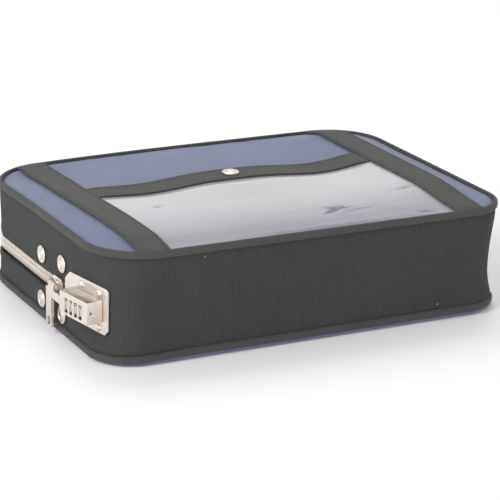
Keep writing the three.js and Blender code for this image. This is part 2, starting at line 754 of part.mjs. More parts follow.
const lockFrame = wallFrame(seamY, zipLevel, lockAngle);
const sliderFrame = wallFrame(sliderY, zipLevel);
bag.add(lockFrame, sliderFrame);
buildBottom();
buildLid();
buildWalls(lockFrame);
buildZip();
buildStuds();
buildSlider(sliderFrame);
buildPull(sliderFrame, eyePlace(lockFrame, sliderFrame));
buildLock(lockFrame);

export default bag;
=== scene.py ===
"""Lockable cash deposit bag: its visible pieces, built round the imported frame. Metres, +Z up."""

import json
import math

import bmesh
import bpy
from mathutils import Matrix, Vector, noise


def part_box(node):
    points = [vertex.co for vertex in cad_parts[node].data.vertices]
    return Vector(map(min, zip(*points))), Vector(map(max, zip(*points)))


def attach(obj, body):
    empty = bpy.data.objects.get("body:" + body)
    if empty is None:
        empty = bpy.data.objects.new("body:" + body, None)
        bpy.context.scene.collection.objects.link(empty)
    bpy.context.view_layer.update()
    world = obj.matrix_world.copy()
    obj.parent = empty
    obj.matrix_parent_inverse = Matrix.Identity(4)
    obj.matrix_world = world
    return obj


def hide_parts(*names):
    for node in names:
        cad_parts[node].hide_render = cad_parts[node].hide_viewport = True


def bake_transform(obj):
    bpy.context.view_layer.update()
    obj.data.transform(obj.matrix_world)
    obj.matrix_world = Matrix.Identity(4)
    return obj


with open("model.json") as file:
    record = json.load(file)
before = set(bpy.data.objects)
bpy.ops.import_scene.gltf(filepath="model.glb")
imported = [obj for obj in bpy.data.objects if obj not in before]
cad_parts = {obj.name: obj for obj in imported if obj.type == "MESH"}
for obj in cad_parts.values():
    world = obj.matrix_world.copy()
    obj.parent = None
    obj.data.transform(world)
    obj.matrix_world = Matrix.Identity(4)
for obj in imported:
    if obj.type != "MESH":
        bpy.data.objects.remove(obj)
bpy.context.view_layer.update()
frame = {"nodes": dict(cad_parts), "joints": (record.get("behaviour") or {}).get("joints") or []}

MM = 0.001
UP = Vector((0, 0, 1))
BOXES = {name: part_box(name) for name in frame["nodes"]}


def low(node, axis):
    return BOXES[node][0][axis]


def high(node, axis):
    return BOXES[node][1][axis]


def middle(node):
    near, far = BOXES[node]
    return (near + far) / 2


# ---- Sizes: taken from the frame, or named here ----
W = high("lower_gusset", 0)  # half the width of the bag
D = high("lower_gusset", 1)  # half its depth
CORNER, REAR_LEFT, FRONT_RIGHT, BASE_LEFT = 48 * MM, 51 * MM, 37 * MM, 35 * MM
SEAM_Y = low("lower_gusset", 1) - 0.3 * MM
WALL_LOW = low("lower_gusset", 2)
WALL_HIGH = high("upper_gusset", 2)
WALL_THICK = 2 * MM
ZIP_LEVEL = (low("zip_teeth_upper", 2) + high("zip_teeth_lower", 2)) / 2
LOCK_CORNER = 28 * MM
PANEL_TOP = high("top_panel", 2)
PANEL_INSET = W - high("top_panel", 0)

JOINTS = {joint["name"]: joint for joint in frame["joints"]}
LOCK_ALONG = Vector(JOINTS["dial_1_turn"]["axis"]).normalized()
LOCK_OUT = LOCK_ALONG.cross(UP)


def smooth(t):
    t = min(max(t, 0.0), 1.0)
    return t * t * (3 - 2 * t)


def between(a, b, t):
    return a + (b - a) * t


def ramp(value, start, length):
    """0 up to the start, then rising smoothly to 1 over the length."""
    return smooth((value - start) / length)


def bump(distance, spread):
    return math.exp(-((distance / spread) ** 2))


def unevenness(x, y, z, scale):
    """Smooth noise between -1 and 1, with its scale along each axis."""
    return noise.noise(Vector((x * scale[0], y * scale[1], z * scale[2])))


# ---- Outlines: straight stretches and round corners, seen from above ----
class Outline:
    """Runs anticlockwise, so the outside of the bag is on its right."""

    def __init__(self, points, radii):
        corners = [Vector(p) for p in points]
        self.parts = []
        start = corners[0]
        for before, corner, after, radius in zip(corners, corners[1:], corners[2:], radii):
            arriving = (corner - before).normalized()
            leaving = (after - corner).normalized()
            turn = math.atan2(arriving.cross(leaving), arriving.dot(leaving))
            reach = radius * math.tan(turn / 2)
            arc_start = corner - arriving * reach
            inward = Vector((-arriving.y, arriving.x))
            self.parts.append(("line", start, arc_start, (arc_start - start).length))
            bend = (radius, -inward, turn)
            self.parts.append(("arc", arc_start + inward * radius, bend, radius * turn))
            start = corner + leaving * reach
        self.parts.append(("line", start, corners[-1], (corners[-1] - start).length))
        self.length = sum(part[3] for part in self.parts)

    def at(self, distance):
        """The point at that distance along the outline, and the way out of the bag there."""
        for index, (kind, a, b, length) in enumerate(self.parts):
            if distance <= length or index == len(self.parts) - 1:
                break
            distance -= length
        if kind == "line":
            along = (b - a).normalized()
            return a + along * distance, Vector((along.y, -along.x))
        radius, out, turn = b
        angle = turn * distance / length
        out = Vector((
            out.x * math.cos(angle) - out.y * math.sin(angle),
            out.x * math.sin(angle) + out.y * math.cos(angle),
        ))
        return a + out * radius, out


def lock_wall_corner():
    """Where the flat behind the lock would meet the front wall."""
    reach = (SEAM_Y + D) / -LOCK_ALONG.y
    return (-W + LOCK_ALONG.x * reach, -D)


ALL_ROUND = [(0, D), (-W, D), (-W, -D), (W, -D), (W, D), (0, D)]
LID_ROUND = Outline(ALL_ROUND, [REAR_LEFT, CORNER, FRONT_RIGHT, CORNER])
BASE_ROUND = Outline(ALL_ROUND, [REAR_LEFT, BASE_LEFT, FRONT_RIGHT, CORNER])
FRONT_EDGE = [(-W, SEAM_Y), (-W, -D), (W, -D), (W, SEAM_Y)]
FRONT_LID = Outline(FRONT_EDGE, [CORNER, FRONT_RIGHT])
FRONT_BASE = Outline(FRONT_EDGE, [BASE_LEFT, FRONT_RIGHT])
FRONT_LOCK = Outline([(-W, SEAM_Y), lock_wall_corner(), (W, -D), (W, SEAM_Y)],
                     [LOCK_CORNER, FRONT_RIGHT])
SIDES = Outline([(W, SEAM_Y), (W, D), (-W, D), (-W, SEAM_Y)], [CORNER, REAR_LEFT])


# ---- How the soft walls lie ----
# Each pair is where a change starts and the length it takes.
PINCH, PINCH_LEVEL = 4 * MM, 35 * MM
PINCH_RIGHT, PINCH_REAR, PINCH_FADE = (95 * MM, 80 * MM), (85 * MM, 45 * MM), (-40 * MM, 160 * MM)
RIGHT_REAR_SHARE, REAR_SHARE = 0.6, 0.45
ROUND_BELOW, ROUND_ABOVE = 1.3, 1.5
RIPPLE, RIPPLE_CLEAR, RIPPLE_SCALE = 0.9 * MM, 12 * MM, (17, 17, 25)
LOCK_SIDE, LOCK_REAR = (-150 * MM, 30 * MM), 90 * MM
TUCK, TUCK_REACH = 1.1 * MM, (0.4 * MM, 2.6 * MM)
ZIP_SAG, SAG_BY_LOCK, SAG_BY_END = 2.0 * MM, (14 * MM, 52 * MM), (6 * MM, 60 * MM)
ZIP_CLOSES = (3 * MM, 7 * MM)


def pinch(x, y, z):
    """How far the wall is drawn in at a place: most at the right front corner, none by the lock."""
    right = ramp(x, *PINCH_RIGHT) * between(1.0, RIGHT_REAR_SHARE, ramp(y, *PINCH_FADE))
    share = max(right, REAR_SHARE * ramp(y, *PINCH_REAR))
    if z < PINCH_LEVEL:
        up = max(0.0, (z - WALL_LOW) / (PINCH_LEVEL - WALL_LOW))
        rise = math.sin(0.5 * math.pi * up) ** ROUND_BELOW
    else:
        up = min(1.0, (z - PINCH_LEVEL) / (WALL_HIGH - PINCH_LEVEL))
        rise = math.cos(0.5 * math.pi * up) ** ROUND_ABOVE
    return PINCH * share * rise


def ripple(x, y, z):
    """Slow unevenness of the cloth, none at the bindings or round the lock and the studs."""
    free = ramp(z - WALL_LOW, 0, RIPPLE_CLEAR) * ramp(WALL_HIGH - z, 0, RIPPLE_CLEAR)
    by_lock = ramp(x, *LOCK_SIDE) if y < LOCK_REAR else 1.0
    return RIPPLE * free * by_lock * unevenness(x, y, z, RIPPLE_SCALE)


def tuck(z):
    """The walls draw in where they go under the bindings."""
    return TUCK * (1 - ramp(min(z - WALL_LOW, WALL_HIGH - z), *TUCK_REACH))


def soft_point(point, out, z, inset=0.0):
    """The soft wall's own point for a point of its outline, and the way out there."""
    inset = inset + tuck(z) + pinch(point.x, point.y, z) - ripple(point.x, point.y, z)
    return Vector((point.x - out.x * inset, point.y - out.y * inset, z)), Vector((out.x, out.y, 0))


def wall_place(outline, distance, z, inset=0.0):
    """A point of a soft wall at a distance along its outline, and the way out there."""
    return soft_point(*outline.at(distance), z, inset)


def zip_level(distance):
    """The zip hangs a little between the lock end and the far end."""
    hang = ramp(SIDES.length - distance, *SAG_BY_LOCK) * ramp(distance, *SAG_BY_END)
    return ZIP_LEVEL - ZIP_SAG * hang


def zip_closing(distance):
    """1 along the zip, falling to 0 at each seam, where the wall closes over the tape's end."""
    return ramp(distance, *ZIP_CLOSES) * ramp(SIDES.length - distance, *ZIP_CLOSES)


# ---- How the lid lies ----
def corner_radius(x, y, base=False):
    """The radius of the outline's corner nearest a point."""
    if x > 0:
        return FRONT_RIGHT if y < 0 else CORNER
    if y > 0:
        return REAR_LEFT
    return BASE_LEFT if base else CORNER


def inside(x, y, base=False):
    """How far in from the walls' outline a point is."""
    radius = corner_radius(x, y, base)
    qx = abs(x) - (W - radius)
    qy = abs(y) - (D - radius)
    outside = math.hypot(max(qx, 0), max(qy, 0)) + min(max(qx, qy), 0)
    return radius - outside


SNAP = middle("snap_cap")
SNAP_FLAT, CROWN_REACH = 26 * MM, 26 * MM
LID_RISE = 1.0 * MM
RIGHT_SWELL, RIGHT_SWELL_X, RIGHT_SWELL_Y = 4.6 * MM, (148 * MM, 42 * MM), (-118 * MM, 60 * MM)
# The padding's other swells and hollows: height, then place and spread along X and along Y.
SWELLS = [
    (2.6 * MM, (-143 * MM, 40 * MM), (-75 * MM, 70 * MM)),
    (-1.9 * MM, (-84 * MM, 38 * MM), (22 * MM, 34 * MM)),
    (-1.9 * MM, (82 * MM, 36 * MM), (22 * MM, 34 * MM)),
    (-2.6 * MM, (-W, 70 * MM), (D, 75 * MM)),
]
DROOP, DROOP_X, DROOP_Y = 2.4 * MM, 95 * MM, 80 * MM


def crown(x, y):
    """How far the lid's padding stands above its edge."""
    swell_x, wide = RIGHT_SWELL_X
    rise = LID_RISE + RIGHT_SWELL * bump(x - swell_x, wide) * ramp(y, *RIGHT_SWELL_Y)
    for height, (swell_x, wide), (swell_y, deep) in SWELLS:
        rise += height * bump(x - swell_x, wide) * bump(y - swell_y, deep)
    near_snap = bump(math.hypot(x - SNAP.x, y - SNAP.y), SNAP_FLAT)
    return rise * (1 - near_snap) * ramp(inside(x, y), PANEL_INSET, CROWN_REACH)


def droop(x, y):
    """The lid's rear left corner hangs a little."""
    return DROOP * bump(x + W, DROOP_X) * bump(y - D, DROOP_Y)


def lid_level(x, y):
    return PANEL_TOP + crown(x, y) - droop(x, y)


def reach_at(across, half, half_across, radius, inset):
    """How far a panel reaches at a place across it, where its round corner may cut it short."""
    over = abs(across) - (half_across - radius)
    if over <= 0:
        return half - inset
    return half - radius + math.sqrt(max((radius - inset) ** 2 - over * over, 0))


def side_reach(y, side, inset, base=False):
    """How far the panels reach to the right (side 1) or the left (side -1) at y."""
    return side * reach_at(y, W, D, corner_radius(side, y, base), inset)


def end_reach(x, side, inset):
    """How far the lid reaches to the back (side 1) or the front (side -1) at x."""
    return side * reach_at(x, D, W, corner_radius(x, side), inset)


# ---- Shader nodes ----
def node(tree, kind, inputs=None, **settings):
    made = tree.nodes.new("ShaderNode" + kind)
    for name, value in settings.items():
        setattr(made, name, value)
    for name, value in (inputs or {}).items():
        if isinstance(value, bpy.types.NodeSocket):
            tree.links.new(value, made.inputs[name])
        else:
            made.inputs[name].default_value = value
    return made


def sums(tree, operation, a, b=0.5, c=0.5):
    return node(tree, "Math", {0: a, 1: b, 2: c}, operation=operation).outputs[0]


def new_group(name, inputs, outputs):
    tree = bpy.data.node_groups.new(name, "ShaderNodeTree")
    for way, sockets in (("INPUT", inputs), ("OUTPUT", outputs)):
        for label, kind, *value in sockets:
            socket = tree.interface.new_socket(name=label, in_out=way, socket_type="NodeSocket" + kind)
            if value:
                socket.default_value = value[0]
    return tree, tree.nodes.new("NodeGroupInput").outputs, tree.nodes.new("NodeGroupOutput")


THREAD_WANDER = 0.5 * MM
RIB_WARP = 0.8
SPECK_SIZE, SPECK_RARE = 0.04, 0.86
PATCHY = 0.16  # the whole swing of patchy roughness and of cloudy vinyl


def weave_group():
    """Threads of a plain weave or a rib, on coordinates in metres."""
    tree, given, out = new_group(
        "Weave",
        [("Vector", "Vector"), ("Warp pitch", "Float", 0.001), ("Weft pitch", "Float", 0.001),
         ("Ribbed", "Float", 0.0)],
        [("Height", "Float"), ("Tone", "Float")],
    )
    wander = node(tree, "TexNoise", {"Vector": given["Vector"], "Scale": 90, "Detail": 1})
    shifted = node(tree, "VectorMath",
                   {0: wander.outputs["Color"], 1: (THREAD_WANDER,) * 3, 2: given["Vector"]},
                   operation="MULTIPLY_ADD")
    parts = node(tree, "SeparateXYZ", {0: shifted.outputs[0]})
    waves = []
    for axis, pitch in (("X", "Warp pitch"), ("Y", "Weft pitch")):
        turns = sums(tree, "DIVIDE", parts.outputs[axis], given[pitch])
        waves.append(sums(tree, "SINE", sums(tree, "MULTIPLY", turns, math.pi)))
    warp, weft = (sums(tree, "ABSOLUTE", wave) for wave in waves)
    over = sums(tree, "GREATER_THAN", sums(tree, "MULTIPLY", *waves), 0.0)
    plain = node(tree, "Mix", {0: over, 2: weft, 3: warp}).outputs[0]
    rib = sums(tree, "MULTIPLY_ADD", warp, RIB_WARP, sums(tree, "MULTIPLY", weft, 1 - RIB_WARP))
    height = node(tree, "Mix", {0: given["Ribbed"], 2: plain, 3: rib}).outputs[0]
    tree.links.new(height, out.inputs["Height"])
    stretched = node(tree, "Mapping", {0: given["Vector"], "Scale": (1.0, 0.12, 1.0)})
    slubs = node(tree, "TexNoise", {"Vector": stretched.outputs[0], "Scale": 420, "Detail": 3})
    tree.links.new(slubs.outputs[0], out.inputs["Tone"])
    return tree


def wear_group():
    """Slow clouds of handling, and small pale specks of lint."""
    tree, given, out = new_group(
        "Handling wear",
        [("Vector", "Vector"), ("Specks", "Float", 0.5)],
        [("Clouds", "Float"), ("Lint", "Float")],
    )
    clouds = node(tree, "TexNoise",
                  {"Vector": given["Vector"], "Scale": 14, "Detail": 4, "Roughness": 0.6})
    tree.links.new(clouds.outputs[0], out.inputs["Clouds"])
    dots = node(tree, "TexVoronoi", {"Vector": given["Vector"], "Scale": 60})
    near = sums(tree, "LESS_THAN", dots.outputs["Distance"], SPECK_SIZE)
    chance = node(tree, "SeparateColor", {0: dots.outputs["Color"]}).outputs[0]
    rare = sums(tree, "GREATER_THAN", chance, SPECK_RARE)
    lint = sums(tree, "MULTIPLY", sums(tree, "MULTIPLY", near, rare), given["Specks"])
    tree.links.new(lint, out.inputs["Lint"])
    return tree


def satin_group():
    """Fine polish lines and dull patches of plated metal."""
    tree, given, out = new_group(
        "Satin plate",
        [("Vector", "Vector"), ("Roughness", "Float", 0.3)],
        [("Roughness", "Float"), ("Height", "Float"), ("Tone", "Float")],
    )
    stretched = node(tree, "Mapping", {0: given["Vector"], "Scale": (1.0, 0.08, 1.0)})
    lines = node(tree, "TexNoise", {"Vector": stretched.outputs[0], "Scale": 2600, "Detail": 2})
    patches = node(tree, "TexNoise", {"Vector": given["Vector"], "Scale": 160, "Detail": 4})
    smoothest = sums(tree, "SUBTRACT", given["Roughness"], PATCHY / 2)
    rough = sums(tree, "MULTIPLY_ADD", patches.outputs[0], PATCHY, smoothest)
    tree.links.new(rough, out.inputs["Roughness"])
    tree.links.new(lines.outputs[0], out.inputs["Height"])
    tree.links.new(patches.outputs[0], out.inputs["Tone"])
    return tree


WEAVE, WEAR, SATIN = weave_group(), wear_group(), satin_group()


def placed_group(tree, group, inputs):
    return node(tree, "Group", inputs, node_tree=group).outputs


def new_material(name, values):
    """A material with these values for its shader's inputs."""
    material = bpy.data.materials.new(name)
    material.use_nodes = True
    tree = material.node_tree
    shader = tree.nodes["Principled BSDF"]
    for label, value in values.items():
        shader.inputs[label].default_value = value
    return material, tree, shader


def texture(tree, where, scale, detail, **more):
    return node(tree, "TexNoise", {"Vector": where, "Scale": scale, "Detail": detail, **more}).outputs[0]


def toned(tree, color, tone, depth):
    """A colour made lighter and darker by tone, by that share either way."""
    light = tuple(min(1.0, c * (1 + depth)) for c in color) + (1,)
    dark = tuple(c * (1 - depth) for c in color) + (1,)
    return node(tree, "Mix", {0: tone, 6: dark, 7: light}, data_type="RGBA").outputs[2]


def set_bump(tree, shader, height, strength, distance):
    made = node(tree, "Bump", {"Height": height, "Strength": strength, "Distance": distance})
    tree.links.new(made.outputs[0], shader.inputs["Normal"])


SLUBS, CLOUDING = 0.3, 0.35
LINT_COLOR = (0.35, 0.35, 0.36, 1)


def cloth_material(name, color, pitch, weft, ribbed, depth, roughness, sheen=0.0, on_uv=True,
                   lint=0.6, hollow_shade=0.35):
    """Woven cloth: thread relief, painted shade darkening the hollows between threads, slubs, handling
    clouds and a little lint.
    """
    material, tree, shader = new_material(
        name, {"Roughness": roughness, "Sheen Weight": sheen, "Specular IOR Level": 0.25})
    places = node(tree, "TexCoord").outputs
    threads = placed_group(tree, WEAVE, {
        "Vector": places["UV" if on_uv else "Object"], "Warp pitch": pitch, "Weft pitch": weft,
        "Ribbed": ribbed,
    })
    worn = placed_group(tree, WEAR, {"Vector": places["Object"], "Specks": lint})
    base = toned(tree, color, threads["Tone"], SLUBS)
    handled = toned(tree, color, worn["Clouds"], CLOUDING)
    clouded = node(tree, "Mix", {0: CLOUDING, 6: base, 7: handled}, data_type="RGBA").outputs[2]
    # Painted shade: the colour is darkened where the threads lie low, as shade in the weave's hollows.
    shade = sums(tree, "MULTIPLY_ADD", threads["Height"], hollow_shade, 1 - hollow_shade * 0.75)
    shaded = node(tree, "Mix", {0: 1.0, 6: clouded, 7: shade}, data_type="RGBA",
                  blend_type="MULTIPLY").outputs[2]
    linty = node(tree, "Mix", {0: worn["Lint"], 6: shaded, 7: LINT_COLOR}, data_type="RGBA").outputs[2]
    tree.links.new(linty, shader.inputs["Base Color"])
    set_bump(tree, shader, threads["Height"], 0.6, depth)
    return material


def metal_material(name, color, roughness):
    material, tree, shader = new_material(name, {"Metallic": 1.0})
    where = node(tree, "TexCoord").outputs["Object"]
    plate = placed_group(tree, SATIN, {"Vector": where, "Roughness": roughness})
    tree.links.new(toned(tree, color, plate["Tone"], 0.06), shader.inputs["Base Color"])
    tree.links.new(plate["Roughness"], shader.inputs["Roughness"])
    set_bump(tree, shader, plate["Height"], 0.25, 0.03 * MM)
    return material


# Painted reflection: the vinyl grows clearer towards its front edge. It lies tight there, and the
# clearing also shows the blue cloth in place of the edge's darker reflection.
MILKY_FROM = -40 * MM
# The dents' clearing is partly the vinyl touching the cloth and partly a painted reflection: the blue
# shows through where the dents look dark.
CLEAR_ALPHA, MILKY_ALPHA, LEAST_ALPHA, TOUCH_AND_SHADE_CLEARS = 0.3, 0.8, 0.08, 0.7


def vinyl_material():
    """Clear soft vinyl, a little milky, which lies tight and clearer along its front edge and in its
    dents; that clearing is also a painted dark reflection, letting the blue cloth show through.
    """
    material, tree, shader = new_material(
        "Clear vinyl", {"Roughness": 0.09, "IOR": 1.53, "Coat Weight": 0.6, "Coat Roughness": 0.05})
    where = node(tree, "TexCoord").outputs["Object"]
    haze = texture(tree, where, 9, 3)
    tree.links.new(toned(tree, (0.60, 0.59, 0.625), haze, 0.08), shader.inputs["Base Color"])
    # Clearer towards the front edge: partly the vinyl lying tight, partly a painted darker reflection
    # along that edge.
    back = node(tree, "SeparateXYZ", {0: where}).outputs["Y"]
    clearing = node(tree, "MapRange", {0: back, 1: low("pocket_window", 1), 2: MILKY_FROM,
                                       3: CLEAR_ALPHA, 4: MILKY_ALPHA},
                    interpolation_type="SMOOTHSTEP").outputs[0]
    clearest = sums(tree, "SUBTRACT", clearing, PATCHY / 2)
    cloudy = sums(tree, "MULTIPLY_ADD", haze, PATCHY, clearest)
    # Clearer in the dents: partly the vinyl touching the cloth, partly the dents' painted dark
    # reflection.
    touch_and_dent_shade = node(tree, "Attribute", attribute_name="Touching_and_dent_shade").outputs["Fac"]
    clear = sums(tree, "MULTIPLY_ADD", touch_and_dent_shade, -TOUCH_AND_SHADE_CLEARS, cloudy)
    alpha = node(tree, "Clamp", {0: clear, 1: LEAST_ALPHA, 2: 1.0}).outputs[0]
    tree.links.new(alpha, shader.inputs["Alpha"])
    set_bump(tree, shader, texture(tree, where, 22, 1), 0.3, 0.6 * MM)
    return material


def board_material():
    material, tree, shader = new_material("Stiffener board", {"Roughness": 0.85})
    where = node(tree, "TexCoord").outputs["Object"]
    pulp = texture(tree, where, 700, 5)
    tree.links.new(toned(tree, (0.1, 0.1, 0.1), pulp, 0.3), shader.inputs["Base Color"])
    set_bump(tree, shader, pulp, 0.3, 0.1 * MM)
    return material


def ink_material():
    material, tree, shader = new_material("Number ink", {"Roughness": 0.6})
    where = node(tree, "TexCoord").outputs["Object"]
    fade = texture(tree, where, 900, 2)
    tree.links.new(toned(tree, (0.03, 0.03, 0.03), fade, 0.5), shader.inputs["Base Color"])
    return material


FINISHES = {
    "blue_cloth": cloth_material(
        "Blue nylon cloth", (0.126, 0.154, 0.258), pitch=0.7 * MM, weft=0.7 * MM, ribbed=0.0,
        depth=0.05 * MM, roughness=0.55, sheen=0.12, on_uv=False, lint=0.25, hollow_shade=0.2),
    "black_canvas": cloth_material(
        "Black ribbed canvas", (0.044, 0.046, 0.0455), pitch=1.25 * MM, weft=0.8 * MM, ribbed=0.9,
        depth=0.16 * MM, roughness=0.85, lint=0.8),
    "black_webbing": cloth_material(
        "Black woven tape", (0.066, 0.064, 0.063), pitch=0.9 * MM, weft=0.9 * MM, ribbed=0.4,
        depth=0.12 * MM, roughness=0.8, sheen=0.05),
    "zip_tape": cloth_material(
        "Zip tape", (0.05, 0.05, 0.05), pitch=0.8 * MM, weft=1.1 * MM, ribbed=0.6,
        depth=0.12 * MM, roughness=0.85),
    "clear_vinyl": vinyl_material(),
    "nickel": metal_material("Satin nickel plate", (0.78, 0.71, 0.65), 0.34),
    "dial_metal": metal_material("Dial nickel", (0.66, 0.62, 0.58), 0.38),
    "steel": metal_material("Zinc plated steel", (0.5, 0.5, 0.5), 0.45),
    "stiffener": board_material(),
}
THREAD = cloth_material(
    "Sewing thread", (0.05, 0.05, 0.05), pitch=0.3 * MM, weft=0.3 * MM, ribbed=0.0,
    depth=0.05 * MM, roughness=0.7, on_uv=False, lint=0.0)
INK = ink_material()


# ---- Pieces ----
# Where the walls are meant to fold with the lid: the front wall over this height, and the side walls
# just behind their seams, so that all of the upper zip and both upper studs go with the lid. These
# bounds are only listed, and no fold is applied.
FOLD_LOW, FOLD_HIGH = 68 * MM, 86 * MM
SEAM_FOLD_BACK, SEAM_FOLD_UP = 3.95 * MM, 0.92 * MM
LID_BLEND = {
    "front": ((0, 0, FOLD_LOW), (0, 0, FOLD_HIGH)),
    "side": ((0, SEAM_Y, FOLD_LOW), (0, SEAM_Y + SEAM_FOLD_BACK, FOLD_LOW + SEAM_FOLD_UP)),
}
# An edge is left sharp where its faces meet at more than this many degrees.
SHARP, CLOTH_SHARP, TURNED_SHARP, VINYL_SHARP, TOOTH_SHARP, CAST_SHARP = 35, 50, 60, 70, 40, 38
NEVER_SHARP = 180


def as_mesh(name, bm):
    mesh = bpy.data.meshes.new(name)
    bm.to_mesh(mesh)
    bm.free()
    return mesh


def add_object(name, data):
    made = bpy.data.objects.new(name, data)
    bpy.context.scene.collection.objects.link(made)
    return made


def mark_sharp(bm, angle):
    for edge in bm.edges:
        edge.smooth = len(edge.link_faces) == 2 and edge.calc_face_angle() < angle


def finish_piece(name, bm, slot, body=None, bends=None, sharp=SHARP, material=None):
    """Makes the object and gives it its finish. It joins the object to its body, and a piece given bends
    only has its place baked into its points, with no bending.
    """
    mark_sharp(bm, math.radians(sharp))
    mesh = as_mesh(name, bm)
    mesh.shade_smooth()
    mesh.materials.append(material or FINISHES[slot])
    made = add_object(name, mesh)
    if bends:
        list(LID_BLEND[bends])
        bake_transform(made)
    else:
        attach(made, body)
    return made


def even(share):
    return share


END_CROWDING = 0.85


def close_at_ends(share):
    """Shares that lie closer together near 0 and 1."""
    return share - END_CROWDING * math.sin(2 * math.pi * share) / (2 * math.pi)


def laid_cloth(length, height, step, place, spread=even):
    """A flat piece of cloth, laid over a surface by place(along, up), each from 0 to 1."""
    bm = bmesh.new()
    bmesh.ops.create_grid(bm, x_segments=max(1, round(length / step)),
                          y_segments=max(1, round(height / step)), size=0.5)
    layer = bm.loops.layers.uv.new("Cloth")
    for face in bm.faces:
        for loop in face.loops:
            loop[layer].uv = (spread(loop.vert.co.x + 0.5) * length, (loop.vert.co.y + 0.5) * height)
    for vert in bm.verts:
        vert.co = place(spread(vert.co.x + 0.5), vert.co.y + 0.5)
    return bm


def thicken(bm, thickness):
    """Gives a cloth its second side, that far in behind the first, and closes its edges."""
    bm.normal_update()
    behind = [(vert, vert.normal * -thickness) for vert in bm.verts]
    bmesh.ops.extrude_face_region(bm, geom=bm.faces[:], use_keep_orig=True)
    for vert, step in behind:
        vert.co += step
    bmesh.ops.recalc_face_normals(bm, faces=bm.faces[:])


def merge_within(bm, distance):
    """Joins points that lie that close together, so that seams close."""
    bmesh.ops.remove_doubles(bm, verts=bm.verts[:], dist=distance)
    bmesh.ops.recalc_face_normals(bm, faces=bm.faces[:])


def scatter(bm, template, places):
    copy = template.copy()
    last = Matrix.Identity(4)
    for place in places:
        copy.transform(place @ last.inverted())
        bm.from_mesh(copy)
        last = place
    bpy.data.meshes.remove(copy)


def frame_at(point, along, out):
    """A place whose X runs along and whose Z runs out."""
    z = out.normalized()
    x = (along - z * along.dot(z)).normalized()
    y = z.cross(x)
    return Matrix((
        (x.x, y.x, z.x, point.x), (x.y, y.y, z.y, point.y), (x.z, y.z, z.z, point.z), (0, 0, 0, 1),
    ))


STITCH_LONG = 2.7 * MM
STITCH_GAP = 1.1 * MM
STITCH_THICK = 0.42 * MM
STITCH_FLAT = 1.3  # its width over its height
STITCH_PROUD = 0.05 * MM


def stitch_template():
    bm = bmesh.new()
    bmesh.ops.create_uvsphere(bm, u_segments=6, v_segments=5, radius=0.5,
                              matrix=Matrix.Rotation(math.pi / 2, 4, "Y"))
    bmesh.ops.scale(bm, vec=(STITCH_LONG, STITCH_THICK * STITCH_FLAT, STITCH_THICK), verts=bm.verts[:])
    return as_mesh("stitch_template", bm)


STITCH = stitch_template()


def stitch_line(at, length):
    """Places for stitches along a line: at(distance) gives a point and the way out of the cloth."""
    count = int(length / (STITCH_LONG + STITCH_GAP))
    places = []
    for i in range(count):
        distance = (i + 0.5) * length / count
        point, out = at(distance)
        ahead, _ = at(min(distance + 0.5 * MM, length))
        behind, _ = at(max(distance - 0.5 * MM, 0))
        places.append(frame_at(point, ahead - behind, out))
    return places


def stitching(name, lines, **rides):
    bm = bmesh.new()
    for at, length in lines:
        scatter(bm, STITCH, stitch_line(at, length))
    finish_piece(name, bm, "black_webbing", sharp=NEVER_SHARP, material=THREAD, **rides)


# ---- Bindings ----
BINDING_WIDE = 4.3 * MM
BINDING_ROUND = 18 * MM
BINDING_SQUARED = 0.75  # below 1 the section is squarer than an ellipse
BINDING_UNEVEN, BINDING_SCALE = 0.25 * MM, (60, 60, 100)
FRONT_LIFT, LIFT_FRONT, LIFT_LEFT = 1.5 * MM, (95 * MM, 30 * MM), (-190 * MM, 90 * MM)


def binding_profile(node_name, share):
    """The section of a rolled binding: (how far in, level), once round."""
    bottom, top = low(node_name, 2), high(node_name, 2)
    outer = W - high(node_name, 0)
    inner = outer + BINDING_WIDE
    angle = 2 * math.pi * share
    squared = [math.copysign(abs(v) ** BINDING_SQUARED, v)
               for v in (math.cos(angle), math.sin(angle))]
    inset = (outer + inner) / 2 - (inner - outer) / 2 * squared[0]
    level = (bottom + top) / 2 + (top - bottom) / 2 * squared[1]
    return inset, level


def binding_lift(x, y, body):
    """The lid's binding droops with the lid, and the base's stands a little higher along the front."""
    if body == "lid":
        return -droop(x, y)
    return FRONT_LIFT * ramp(-y, *LIFT_FRONT) * ramp(x, *LIFT_LEFT)


def build_binding(node_name, name, body, outline):
    def place(along, share):
        inset, level = binding_profile(node_name, share)
        point, out = outline.at(along * outline.length)
        inset -= BINDING_UNEVEN * unevenness(point.x, point.y, level, BINDING_SCALE)
        level += binding_lift(point.x, point.y, body)
        return Vector((point.x - out.x * inset, point.y - out.y * inset, level))

    bm = laid_cloth(outline.length, BINDING_ROUND, 1.8 * MM, place)
    merge_within(bm, 0.02 * MM)
    made = finish_piece(name, bm, "black_webbing", body=body)
    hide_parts(node_name)


def binding_stitches(node_name, name, body, outline, share):
    """A row of stitches along a binding, at one place round its section."""
    ahead, level = binding_profile(node_name, share)
    centre = W - high(node_name, 0) + BINDING_WIDE / 2
    rise = level - (low(node_name, 2) + high(node_name, 2)) / 2
    facing_out = Vector((centre - ahead, rise))

    def at(distance):
        point, out = outline.at(distance)
        lift = binding_lift(point.x, point.y, body)
        where = Vector((point.x - out.x * ahead, point.y - out.y * ahead, level + lift))
        return where, Vector((out.x * facing_out.x, out.y * facing_out.x, facing_out.y))

    stitching(name, [(at, outline.length)], body=body)


# ---- Panels ----
PANEL_STEP = 4 * MM
LID_EDGE, BASE_EDGE = 1.6 * MM, 0.4 * MM
QUILT, QUILT_SCALE = 0.25 * MM, 30
EDGE_QUILT, EDGE_QUILT_SCALE, EDGE_QUILT_REACH = 0.45 * MM, 75, 22 * MM
EDGE_DROP, LID_EDGE_REACH, BASE_EDGE_REACH = 1.6 * MM, 7 * MM, 5 * MM


